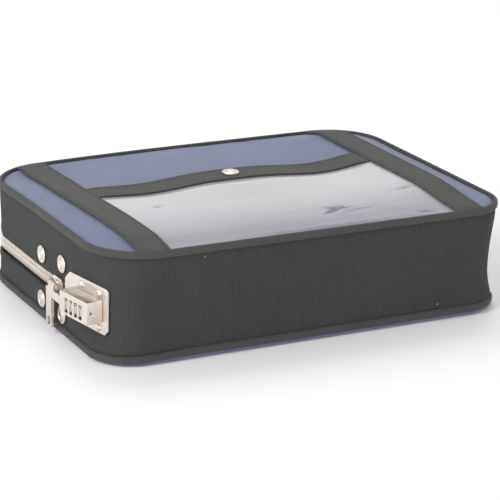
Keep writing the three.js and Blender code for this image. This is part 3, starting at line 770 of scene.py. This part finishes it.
def panel_sheet(inset, level, base=False):
    """A flat sheet with the panels' outline, closer rows near its ends."""
    def place(along, up):
        y = (D - inset) * math.sin(math.pi * (up - 0.5))
        across = math.sin(math.pi * (along - 0.5))
        x = side_reach(y, 1 if across > 0 else -1, inset, base) * abs(across)
        return Vector((x, y, level))

    return laid_cloth(2 * W, 2 * D, PANEL_STEP, place)


def second_side(bm):
    """Adds another copy of a sheet, joined round its edge, and gives the copy's points."""
    grown = bmesh.ops.extrude_face_region(bm, geom=bm.faces[:], use_keep_orig=True)
    return [part for part in grown["geom"] if isinstance(part, bmesh.types.BMVert)]


def build_top_panel():
    bm = panel_sheet(LID_EDGE, low("top_panel", 2) - 1.2 * MM)
    for vert in second_side(bm):
        x, y = vert.co.xy
        by_edge = 1 - ramp(inside(x, y), LID_EDGE, EDGE_QUILT_REACH)
        quilt = QUILT * noise.noise(vert.co * QUILT_SCALE)
        quilt += EDGE_QUILT * by_edge * noise.noise(vert.co * EDGE_QUILT_SCALE)
        edge = 1 - ramp(inside(x, y), LID_EDGE, LID_EDGE_REACH)
        vert.co.z = lid_level(x, y) + quilt - EDGE_DROP * edge * edge
    bmesh.ops.recalc_face_normals(bm, faces=bm.faces[:])
    made = finish_piece("lid_blue_panel", bm, "blue_cloth", body="lid")
    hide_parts("top_panel")


def build_bottom_panel():
    bm = panel_sheet(BASE_EDGE, high("bottom_panel", 2) + 0.2 * MM, base=True)
    for vert in second_side(bm):
        edge = 1 - ramp(inside(*vert.co.xy, True), BASE_EDGE, BASE_EDGE_REACH)
        vert.co.z = EDGE_DROP * edge ** 3
    bmesh.ops.recalc_face_normals(bm, faces=bm.faces[:])
    made = finish_piece("bottom_blue_panel", bm, "blue_cloth", body="base")
    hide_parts("bottom_panel")


# ---- Straps and pocket on the lid ----
STRAP_THICK = high("strap_left", 2) - low("strap_left", 2)
BINDING_INSIDE = 2.2 * MM
STRAP_RIDGE, RIDGE_AT, RIDGE_SPREAD = 0.35 * MM, 0.07, 0.05
STRAP_DIP, STRAP_DIP_REACH = 1.1 * MM, 7 * MM
STRAP_STITCH_IN = 2.2 * MM


def build_strap(node_name, name):
    x0, x1 = low(node_name, 0), high(node_name, 0)
    lift = low(node_name, 2) - PANEL_TOP

    def top_at(x, y):
        across = (x - x0) / (x1 - x0)
        ridges = bump(across - RIDGE_AT, RIDGE_SPREAD) + bump(across - 1 + RIDGE_AT, RIDGE_SPREAD)
        down = STRAP_DIP * (1 - ramp(inside(x, y), BINDING_INSIDE, STRAP_DIP_REACH))
        return lid_level(x, y) + lift + STRAP_THICK + STRAP_RIDGE * ridges - down

    def place(along, across):
        x = between(x1, x0, across)
        y = between(end_reach(x, -1, BINDING_INSIDE), end_reach(x, 1, BINDING_INSIDE), along)
        return Vector((x, y, top_at(x, y)))

    bm = laid_cloth(2 * D, x1 - x0, 3 * MM, place)
    thicken(bm, STRAP_THICK)
    made = finish_piece(name, bm, "black_webbing", body="lid", sharp=CLOTH_SHARP)
    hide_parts(node_name)
    lines = []
    for x in (x0 + STRAP_STITCH_IN, x1 - STRAP_STITCH_IN):
        front, back = (end_reach(x, side, BINDING_INSIDE + 1 * MM) for side in (-1, 1))

        def at(distance, x=x, front=front):
            return Vector((x, front + distance, top_at(x, front + distance) - 0.02 * MM)), UP

        lines.append((at, back - front))
    stitching(name + "_stitches", lines, body="lid")


MOUTH_FRONT, MOUTH_BACK = low("pocket_mouth_band", 1), high("pocket_mouth_band", 1)
MOUTH_HALF = high("pocket_mouth_band", 0)
MOUTH_THICK = 1.6 * MM
MOUTH_RISE = high("pocket_mouth_band", 2) - high("strap_left", 2) - 0.2 * MM
SNAP_SPREAD = 46 * MM
MOUTH_SWING, SWING_AT, SWING_SPREAD = 3.0 * MM, (-84 * MM, 82 * MM), 38 * MM
MOUTH_DIP, MOUTH_END = 0.9 * MM, (118 * MM, 12 * MM)
MOUTH_FOLD, FOLDS = 0.5 * MM, ((0.05, 0.06), (0.95, 0.05))


def mouth_swing(x):
    """The band hangs forward a little on each side of the snap."""
    return -MOUTH_SWING * sum(bump(x - at, SWING_SPREAD) for at in SWING_AT)


def mouth_level(x, y):
    """Top of the pocket's mouth band."""
    lift = low("strap_left", 2) - PANEL_TOP + MOUTH_THICK
    held = MOUTH_RISE * bump(x - SNAP.x, SNAP_SPREAD)
    return lid_level(x, y) + lift + held - MOUTH_DIP * ramp(abs(x), *MOUTH_END)


def build_mouth_band():
    depth = MOUTH_BACK - MOUTH_FRONT

    def surface(x, share):
        y = MOUTH_FRONT + depth * share + mouth_swing(x)
        fold = MOUTH_FOLD * sum(bump(share - at, spread) for at, spread in FOLDS)
        return Vector((x, y, mouth_level(x, MOUTH_FRONT + depth * share) + fold))

    def place(along, share):
        return surface(between(-MOUTH_HALF, MOUTH_HALF, along), share)

    bm = laid_cloth(2 * MOUTH_HALF, depth, 3 * MM, place)
    thicken(bm, MOUTH_THICK)
    made = finish_piece("pocket_band", bm, "black_webbing", body="lid", sharp=CLOTH_SHARP)
    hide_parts("pocket_mouth_band")
    lines = []
    for share in (0.12, 0.88):

        def at(distance, share=share):
            return surface(distance - MOUTH_HALF, share), UP

        lines.append((at, 2 * MOUTH_HALF))
    stitching("pocket_band_stitches", lines, body="lid")


WINDOW_HALF = high("pocket_window", 0)
WINDOW_FRONT, WINDOW_BACK = low("pocket_window", 1), high("pocket_window", 1)
WINDOW_LIFT = low("pocket_window", 2) - PANEL_TOP
WINDOW_SIDES, WINDOW_FREE, BAND_FREE = (55 * MM, 30 * MM), 34 * MM, (-4 * MM, 20 * MM)
WAVE, WAVE_SCALE, FINE, FINE_SCALE = 1.3 * MM, (15, 24), 0.3 * MM, (34, 58)
SNAP_HOLDS = (-40 * MM, 50 * MM)
VINYL_OVER, DENT_UNDER = 0.5 * MM, 0.4 * MM
# How strongly the dents clear the vinyl: partly its touching the cloth, partly a painted dark reflection
# in the dents.
TOUCH_AND_SHADE_MOST, TOUCH_AND_SHADE_PER_MM = 0.85, 0.75
# Small dents in the vinyl, in millimetres: place, size along and across, turn in radians, depth.
DENTS = [
    ((36, -95), 12, 3.0, 0.55, 1.3),
    ((41, -91), 11, 2.2, -0.3, 1.0),
    ((56, -101), 20, 1.8, 0.1, 0.4),
    ((119, -68), 9, 2.5, 0.1, 0.7),
    ((106, -123), 7, 2.2, -0.2, 0.6),
    ((-96, -34), 6, 2.0, 0.5, 0.7),
    ((20, -129), 75, 2.6, 0.0, 0.5),
]


def dented(x, y):
    """How deep the vinyl is dented at a place."""
    total = 0.0
    for (centre_x, centre_y), long, wide, turn, depth in DENTS:
        dx, dy = x - centre_x * MM, y - centre_y * MM
        along = dx * math.cos(turn) + dy * math.sin(turn)
        across = dy * math.cos(turn) - dx * math.sin(turn)
        total += depth * MM * bump(along, long * MM) * bump(across, wide * MM)
    return total


def window_level(x, y):
    """The vinyl swells softly over the lid, with long waves and a few dents."""
    free = ramp(W - abs(x), *WINDOW_SIDES) * ramp(y, WINDOW_FRONT, WINDOW_FREE)
    free_of_band = ramp(MOUTH_FRONT - y, *BAND_FREE)
    wave = 0.5 + 0.5 * noise.noise(Vector((x * WAVE_SCALE[0] + 3, y * WAVE_SCALE[1], 7)))
    fine = noise.noise(Vector((x * FINE_SCALE[0], y * FINE_SCALE[1], 2)))
    lift = free * (WAVE * wave + FINE * fine) * free_of_band
    held = MOUTH_RISE * bump(x - SNAP.x, SNAP_SPREAD) * ramp(y, *SNAP_HOLDS)
    dent = min(dented(x, y), lift + DENT_UNDER)
    return lid_level(x, y) + WINDOW_LIFT + VINYL_OVER + lift + held - dent


def build_window():
    def place(along, up):
        x = between(-WINDOW_HALF, WINDOW_HALF, along)
        y = between(end_reach(x, -1, BINDING_INSIDE), WINDOW_BACK, up)
        return Vector((x, y, window_level(x, y)))

    bm = laid_cloth(2 * WINDOW_HALF, WINDOW_BACK - WINDOW_FRONT, 1.5 * MM, place)
    # Per point, how much the dents clear the vinyl: partly its touching the cloth, partly the dents'
    # painted dark reflection.
    layer = bm.verts.layers.float.new("Touching_and_dent_shade")
    for vert in bm.verts:
        vert[layer] = min(TOUCH_AND_SHADE_MOST, TOUCH_AND_SHADE_PER_MM * dented(vert.co.x, vert.co.y) / MM)
    thicken(bm, 0.4 * MM)
    made = finish_piece("pocket_vinyl", bm, "clear_vinyl", body="lid", sharp=VINYL_SHARP)
    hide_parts("pocket_window")


# ---- Walls ----
UPPER_REVEAL = 5.6 * MM
LOWER_REVEAL = 9.4 * MM
HEM = {1: 0.25 * MM, -1: 0.8 * MM}  # how far the folded edges stand out, above and below the zip
HEM_START, HEM_END = 1 * MM, (5 * MM, 3 * MM)
HEM_CURL, CURL_REACH, HEM_STITCH = 0.8 * MM, 1.2 * MM, 4.2 * MM
SHUT_GAP = 0.15 * MM
STITCH_START = 8 * MM
LOCK_FLAT_FADE = 11 * MM
SEAM_IN = 3 * MM


def zip_edge(distance, side):
    """Level of a wall's folded edge beside the zip; side is 1 above it and -1 below."""
    reveal = UPPER_REVEAL if side > 0 else LOWER_REVEAL
    return zip_level(distance) + side * between(SHUT_GAP, reveal, zip_closing(distance))


def build_side_wall(node_name, name, side, **rides):
    edge_level = WALL_HIGH if side > 0 else WALL_LOW
    height = abs(edge_level - ZIP_LEVEL)

    def surface(distance, share):
        """share runs from the zip's edge, at 0, to the binding, at 1."""
        point, _ = SIDES.at(distance)
        far = edge_level - (droop(point.x, point.y) if side > 0 else 0)
        z = between(zip_edge(distance, side), far, share)
        from_edge = abs(z - zip_edge(distance, side))
        hem = HEM[side] * ramp(from_edge, 0, HEM_START) * (1 - ramp(from_edge, *HEM_END))
        curl = HEM_CURL * (1 - ramp(from_edge, 0, CURL_REACH))
        return wall_place(SIDES, distance, z, curl - hem)

    def place(along, up):
        share = up if side > 0 else 1 - up
        return surface(along * SIDES.length, share)[0]

    bm = laid_cloth(SIDES.length, height, 2 * MM, place, close_at_ends)
    thicken(bm, WALL_THICK)
    made = finish_piece(name, bm, "black_canvas", sharp=CLOTH_SHARP, **rides)
    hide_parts(node_name)

    def at(distance):
        reach = distance + STITCH_START
        z = zip_edge(reach, side) + side * HEM_STITCH
        return wall_place(SIDES, reach, z, -HEM[side] - STITCH_PROUD)

    stitching(name + "_stitches", [(at, SIDES.length - 2 * STITCH_START)], **rides)


def build_front_wall():
    height = WALL_HIGH - WALL_LOW

    def surface(share, z, inset=0.0):
        edge = FRONT_LID if z > ZIP_LEVEL else FRONT_BASE
        round_point, round_out = edge.at(share * edge.length)
        flat_point, flat_out = FRONT_LOCK.at(share * FRONT_LOCK.length)
        flat = ramp(z - WALL_LOW, 0, LOCK_FLAT_FADE) * ramp(WALL_HIGH - z, 0, LOCK_FLAT_FADE)
        point = round_point.lerp(flat_point, flat)
        return soft_point(point, round_out.lerp(flat_out, flat).normalized(), z, inset)

    def place(along, up):
        return surface(along, between(WALL_LOW, WALL_HIGH, up))[0]

    bm = laid_cloth(FRONT_LOCK.length, height, 2.2 * MM, place)
    thicken(bm, WALL_THICK)
    made = finish_piece("front_wall", bm, "black_canvas", bends="front", sharp=CLOTH_SHARP)
    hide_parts("front_gusset")
    lines = []
    for share in (SEAM_IN / FRONT_LOCK.length, 1 - SEAM_IN / FRONT_LOCK.length):

        def at(distance, share=share):
            return surface(share, WALL_LOW + SEAM_IN + distance, -STITCH_PROUD)

        lines.append((at, height - 2 * SEAM_IN))
    stitching("seam_stitches", lines, bends="front")


# ---- Zip ----
TOOTH_PITCH = 3.3 * MM
TOOTH_FAR = 5.1 * MM
TOOTH_OVER = 0.55 * MM
TOOTH_WIDE = 1.45 * MM
TOOTH_DEEP = 4.6 * MM
TOOTH_PROUD = 0.7 * MM
TEETH_START, TEETH_STOP = 10.8 * MM, 11 * MM  # from the far seam, and from the seam by the lock
TEETH_OFFSET = {1: 0.25, -1: 0.75}  # the rows mesh half a pitch apart


def tooth_template():
    """One cast tooth with rounded edges, which reaches a little over the zip's middle."""
    bm = bmesh.new()
    bmesh.ops.create_cube(bm, size=1)
    bmesh.ops.scale(bm, vec=(TOOTH_WIDE, TOOTH_DEEP, TOOTH_FAR + TOOTH_OVER), verts=bm.verts[:])
    bmesh.ops.translate(bm, vec=(0, 0, (TOOTH_FAR - TOOTH_OVER) / 2), verts=bm.verts[:])
    bmesh.ops.bevel(bm, geom=bm.edges[:], offset=0.42 * MM, segments=2, profile=0.5, affect="EDGES",
                    material=-1, clamp_overlap=True)
    return as_mesh("tooth_template", bm)


def build_teeth(node_name, name, side, **rides):
    template = tooth_template()
    count = int((SIDES.length - TEETH_STOP - TEETH_START) / TOOTH_PITCH)
    bm = bmesh.new()
    places = []
    for i in range(count):
        distance = TEETH_START + (i + TEETH_OFFSET[side]) * TOOTH_PITCH
        level = zip_level(distance)
        point, out = wall_place(SIDES, distance, level, TOOTH_DEEP / 2 - TOOTH_PROUD)
        up = UP * side
        places.append(frame_at(point, up.cross(out), up))
    scatter(bm, template, places)
    made = finish_piece(name, bm, "nickel", sharp=TOOTH_SHARP, **rides)
    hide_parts(node_name)


def build_tape(node_name, name, side, **rides):
    near, far = 2.6 * MM, 11.2 * MM
    shallow, deep, step_back = 0.9 * MM, 3.4 * MM, (6.6 * MM, 2.4 * MM)
    top_limit = abs((high(node_name, 2) if side > 0 else low(node_name, 2)) - ZIP_LEVEL)

    def place(along, up):
        distance = along * SIDES.length
        share = up if side > 0 else 1 - up
        reach = between(near, min(far, top_limit + 1 * MM), share)
        inset = between(shallow, deep, ramp(reach, *step_back))
        return wall_place(SIDES, distance, zip_level(distance) + side * reach, inset)[0]

    bm = laid_cloth(SIDES.length, far - near, 2.2 * MM, place, close_at_ends)
    thicken(bm, 0.8 * MM)
    made = finish_piece(name, bm, "zip_tape", sharp=CLOTH_SHARP, **rides)
    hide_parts(node_name)


# ---- Metal turned round an axis ----
# Radius and height in millimetres, from the middle of the face outwards.
RIVET_HEAD = [(0, 1.55), (1.1, 1.45), (2.1, 1.1), (2.8, 0.5), (3.0, 0.0), (1.4, -0.1), (1.4, -5.2),
              (0, -5.2)]
SLIDER_DOME = [(0, 3.0), (1.6, 2.85), (3.2, 2.2), (4.3, 1.2), (4.8, 0.0), (4.6, -0.4), (0, -0.4)]
# A pressed cap's face: share of its radius, and millimetres below its top.
CAP_FACE = [
    (0, 0), (0.28, 0.03), (0.5, 0.16), (0.54, 0.75), (0.63, 0.77), (0.68, 0.12), (0.82, 0.06),
    (0.93, 0.35), (1, 0.95), (0.985, 1.45),
]
SHANK_LONG = 3 * MM


def in_metres(profile):
    return [(radius * MM, height * MM) for radius, height in profile]


def turned_piece(profile, place, steps=40):
    """A closed form from (radius, height) points, spun round Z, then placed."""
    bm = bmesh.new()
    points = [bm.verts.new((radius, 0, height)) for radius, height in profile]
    edges = [bm.edges.new(pair) for pair in zip(points, points[1:])]
    bmesh.ops.spin(bm, geom=points + edges, axis=(0, 0, 1), cent=(0, 0, 0), angle=2 * math.pi,
                   steps=steps, use_merge=True)
    merge_within(bm, 0.001 * MM)
    bmesh.ops.transform(bm, matrix=place, verts=bm.verts[:])
    return bm


LEFT = Vector((-1, 0, 0))


def facing(point, out):
    side = UP if abs(out.z) < 0.9 else Vector((0, 1, 0))
    return frame_at(point, side.cross(out), out)


def stud_profile(radius, proud, behind):
    """A pressed cap: domed middle, a ring groove, a rolled edge, and its shank behind."""
    face = [(radius * share, proud - deep * MM) for share, deep in CAP_FACE]
    return face + [
        (radius * 0.94, behind + 0.02 * MM), (radius * 0.3, behind),
        (radius * 0.27, behind - SHANK_LONG), (0, behind - SHANK_LONG),
    ]


def build_studs():
    for i in (1, 2, 3, 4):
        node_name = f"side_stud_{i}"
        centre = middle(node_name)
        radius = (high(node_name, 2) - low(node_name, 2)) / 2
        centre.x = -W
        proud = -W - low(node_name, 0)
        profile = stud_profile(radius, proud + 0.2 * MM, 0.1 * MM)
        bm = turned_piece(profile, facing(centre, LEFT))
        body = "lid" if i < 3 else "base"
        made = finish_piece(f"wall_stud_{i}", bm, "nickel", body=body, sharp=TURNED_SHARP)
        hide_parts(node_name)


def build_snap():
    radius = (high("snap_cap", 0) - low("snap_cap", 0)) / 2
    top = high("snap_cap", 2)
    thick = 2.2 * MM
    seat = Vector((SNAP.x, SNAP.y, top - thick))
    bm = turned_piece(stud_profile(radius, thick, 0.0), facing(seat, UP), 48)
    made = finish_piece("snap_button", bm, "nickel", body="lid", sharp=TURNED_SHARP)
    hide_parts("snap_cap")


# ---- Metal pieces with the frame's own shape, given soft edges ----
CORNER_ANGLE, FLAT_ANGLE = math.radians(30), math.radians(1.5)


def softened(node_name, name, body, edge, segments):
    source = frame["nodes"][node_name]
    bm = bmesh.new()
    bm.from_mesh(source.data)
    bmesh.ops.remove_doubles(bm, verts=bm.verts[:], dist=0.004 * MM)
    bmesh.ops.dissolve_limit(bm, angle_limit=FLAT_ANGLE, verts=bm.verts[:], edges=bm.edges[:])
    edges = [e for e in bm.edges if len(e.link_faces) == 2 and e.calc_face_angle() > CORNER_ANGLE]
    bmesh.ops.bevel(bm, geom=edges, offset=edge, segments=segments, profile=0.5, affect="EDGES",
                    material=-1, clamp_overlap=True)
    made = finish_piece(name, bm, "nickel", body=body, sharp=CAST_SHARP)
    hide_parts(node_name)


def lock_point(along, out, level):
    """A point in the lock's own frame: along the lock to the front, out of the wall, and up."""
    return Vector((-W, SEAM_Y, 0)) + LOCK_ALONG * along + LOCK_OUT * out + UP * level


PLATE_FACE = 1.8 * MM


def build_lock():
    softened("lock_plate", "lock_base_plate", "base", 0.4 * MM, 3)
    softened("lock_housing", "lock_case", "base", 0.45 * MM, 3)
    for i in (1, 2, 3, 4):
        node_name = f"lock_rivet_{i}"
        centre = middle(node_name)
        away = (centre - lock_point(0, 0, 0)).dot(LOCK_ALONG)
        seat = lock_point(away, PLATE_FACE, centre.z)
        bm = turned_piece(in_metres(RIVET_HEAD), facing(seat, LOCK_OUT), 28)
        made = finish_piece(f"lock_plate_rivet_{i}", bm, "nickel", body="base", sharp=TURNED_SHARP)
        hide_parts(node_name)


DIAL_RADIUS, DIAL_RIM, DIAL_CHAMFER_IN, DIAL_CHAMFER_DOWN = 6.4 * MM, 3.8 * MM, 0.5 * MM, 0.3 * MM
HUB_RADIUS, HUB_HALF, DIAL_BORE = 4.2 * MM, 3.05 * MM, 1.8 * MM
DIGIT_TALL, DIGIT_PROUD = 2.7 * MM, 0.03 * MM
GRIP_THICK, GRIP_EDGE, GRIP_PROUD = 0.5 * MM, 0.12 * MM, 0.02 * MM
DIAL_STEP = 36  # degrees from one number to the next
DIAL_BODIES = ("dial_first", "dial_second", "dial_third", "dial_fourth")
DIALS_SHOW = (3, 0, 7, 5)


def digit_template(number):
    """A plain flat numeral, centred, facing +Z."""
    curve = bpy.data.curves.new(f"digit_{number}", "FONT")
    curve.body = str(number)
    curve.size = DIGIT_TALL * 1.35
    curve.extrude = 0.04 * MM
    curve.resolution_u = 2
    curve.align_x, curve.align_y = "CENTER", "CENTER"
    text = bpy.data.objects.new(f"digit_{number}", curve)
    mesh = bpy.data.meshes.new_from_object(text)
    bpy.data.objects.remove(text)
    bpy.data.curves.remove(curve)
    return mesh


def grip_template():
    bm = bmesh.new()
    bmesh.ops.create_cube(bm, size=1)
    bmesh.ops.scale(bm, vec=(GRIP_THICK, DIAL_RIM * 0.96, GRIP_THICK), verts=bm.verts[:])
    bmesh.ops.bevel(bm, geom=bm.edges[:], offset=GRIP_EDGE, segments=1, profile=0.5, affect="EDGES",
                    material=-1)
    return as_mesh("grip_template", bm)


def on_dial(centre, degrees, proud):
    """A point on a dial's rim, the way out there and the way round."""
    angle = math.radians(degrees)
    out = LOCK_OUT * math.cos(angle) + UP * math.sin(angle)
    around = UP * math.cos(angle) - LOCK_OUT * math.sin(angle)
    return centre + out * (DIAL_RADIUS + proud), out, around


def dial_profile():
    rim, shoulder = DIAL_RIM / 2, DIAL_RADIUS - DIAL_CHAMFER_IN
    half = [(DIAL_BORE, HUB_HALF), (HUB_RADIUS, HUB_HALF), (HUB_RADIUS, rim), (shoulder, rim),
            (DIAL_RADIUS, rim - DIAL_CHAMFER_DOWN)]
    return half + [(radius, -height) for radius, height in reversed(half)] + half[:1]


def build_dials():
    digits = [digit_template(number) for number in range(10)]
    grip = grip_template()
    for i, body in enumerate(DIAL_BODIES):
        node_name = f"dial_{i + 1}"
        centre = middle(node_name)
        bm = turned_piece(dial_profile(), frame_at(centre, UP, LOCK_ALONG))
        made = finish_piece(f"number_dial_{i + 1}", bm, "dial_metal", body=body)
        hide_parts(node_name)
        grips, numbers = bmesh.new(), bmesh.new()
        for k in range(10):
            point, out, around = on_dial(centre, DIAL_STEP * (k + 0.5), GRIP_PROUD)
            scatter(grips, grip, [frame_at(point, around, out)])
            point, out, _ = on_dial(centre, DIAL_STEP * k, DIGIT_PROUD)
            scatter(numbers, digits[(DIALS_SHOW[i] - k) % 10], [frame_at(point, LOCK_ALONG, out)])
        finish_piece(f"dial_{i + 1}_grips", grips, "dial_metal", body=body)
        finish_piece(f"dial_{i + 1}_numbers", numbers, "dial_metal", body=body, material=INK)


def build_zip_metal():
    softened("slider_body", "zip_slider", "slider", 0.35 * MM, 3)
    centre = middle("slider_body")
    crown_seat = Vector((-W - 2.5 * MM, centre.y, ZIP_LEVEL + 0.5 * MM))
    bm = turned_piece(in_metres(SLIDER_DOME), facing(crown_seat, LEFT), 32)
    finish_piece("slider_crown", bm, "nickel", body="slider", sharp=TURNED_SHARP)
    softened("pull_tab", "zip_pull", "pull", 0.45 * MM, 3)
    softened("zip_end_box", "zip_end_cap", "base", 0.6 * MM, 2)


def dress_cad_nodes():
    """The frame's own small pieces that keep their shape."""
    finishes = {
        "nickel": ["zip_stop_lower", "zip_stop_upper", "snap_socket", "snap_stud"],
        "steel": ["snap_post", "stud_washer_1", "stud_washer_2", "stud_washer_3", "stud_washer_4",
                  "lock_backing_plate", "detent_spring", "lock_bolt"],
        "stiffener": ["top_board", "bottom_board"],
    }
    for slot, node_names in finishes.items():
        for node_name in node_names:
            piece = frame["nodes"][node_name]
            piece.data.materials.clear()
            piece.data.materials.append(FINISHES[slot])


# ---- The room ----
CAMERA_BACK = (-27.145, 17.943)
CAMERA_AWAY = 1.9
CAMERA_AIM = Vector((0, 0, 47.5 * MM))
CAMERA_LENS = 159.46
CAMERA_ROLL = math.radians(1.43)
CAMERA_SHIFT = (0.0162, -0.026)
# Name, place, aim, size in metres and power in watts.
LIGHTS = [
    ("key", (-2.4, -0.5, 1.7), (0, 0, 0), 1.6, 46),
    ("top", (0.6, 1.4, 2.4), (0, 0, 0), 1.8, 26),
    ("fill", (-0.7, -2.4, 0.5), (-0.15, -0.1, 0.04), 1.0, 9),
]
FLOOR_HALF = 6


def add_camera():
    azimuth, elevation = (math.radians(a) for a in CAMERA_BACK)
    level = math.cos(elevation)
    back = Vector((math.sin(azimuth) * level, -math.cos(azimuth) * level, math.sin(elevation)))
    data = bpy.data.cameras.new("camera")
    data.lens = CAMERA_LENS
    data.sensor_width = 36
    data.shift_x, data.shift_y = CAMERA_SHIFT
    data.clip_start = 0.05
    camera = add_object("camera", data)
    camera.location = CAMERA_AIM + back * CAMERA_AWAY
    turn = (-back).to_track_quat("-Z", "Y").to_matrix() @ Matrix.Rotation(CAMERA_ROLL, 3, "Z")
    camera.rotation_euler = turn.to_euler()
    bpy.context.scene.camera = camera


def add_area(name, place, aim, size, power):
    data = bpy.data.lights.new(name, "AREA")
    data.shape = "DISK"
    data.size = size
    data.energy = power
    light = add_object(name, data)
    light.location = place
    light.rotation_euler = (Vector(aim) - Vector(place)).to_track_quat("-Z", "Y").to_euler()


def add_room():
    world = bpy.data.worlds.new("studio")
    bpy.context.scene.world = world
    world.use_nodes = True
    tree = world.node_tree
    background = tree.nodes["Background"]
    way = node(tree, "TexCoord").outputs["Generated"]
    height = node(tree, "SeparateXYZ", {0: way}).outputs["Z"]
    fall = node(tree, "MapRange", {0: height, 1: 0.3, 2: 0.85, 3: 1.0, 4: 0.35},
                interpolation_type="SMOOTHSTEP").outputs[0]
    tree.links.new(fall, background.inputs["Strength"])
    background.inputs["Color"].default_value = (1.0, 1.0, 1.0, 1)
    for light in LIGHTS:
        add_area(*light)
    bm = bmesh.new()
    bmesh.ops.create_grid(bm, x_segments=2, y_segments=2, size=FLOOR_HALF)
    mesh = as_mesh("floor", bm)
    material = new_material("Pale floor", {
        "Base Color": (0.97, 0.97, 0.97, 1), "Roughness": 0.9, "Specular IOR Level": 0.0})[0]
    mesh.materials.append(material)
    floor = add_object("floor", mesh)
    bpy.context.scene.view_settings.view_transform = "Standard"


add_camera()
add_room()
build_top_panel()
build_bottom_panel()
build_binding("top_binding", "lid_binding", "lid", LID_ROUND)
build_binding("bottom_binding", "base_binding", "base", BASE_ROUND)
binding_stitches("top_binding", "lid_binding_stitches", "lid", LID_ROUND, 0.36)
binding_stitches("bottom_binding", "base_binding_stitches", "base", BASE_ROUND, 0.1)
build_strap("strap_left", "left_strap")
build_strap("strap_right", "right_strap")
build_mouth_band()
build_window()
build_front_wall()
build_side_wall("lower_gusset", "lower_wall", -1, body="base")
build_side_wall("upper_gusset", "upper_wall", 1, bends="side")
build_tape("zip_tape_lower", "lower_tape", -1, body="base")
build_tape("zip_tape_upper", "upper_tape", 1, bends="side")
build_teeth("zip_teeth_lower", "lower_teeth", -1, body="base")
build_teeth("zip_teeth_upper", "upper_teeth", 1, body="lid")
build_studs()
build_snap()
build_lock()
build_dials()
build_zip_metal()
dress_cad_nodes()
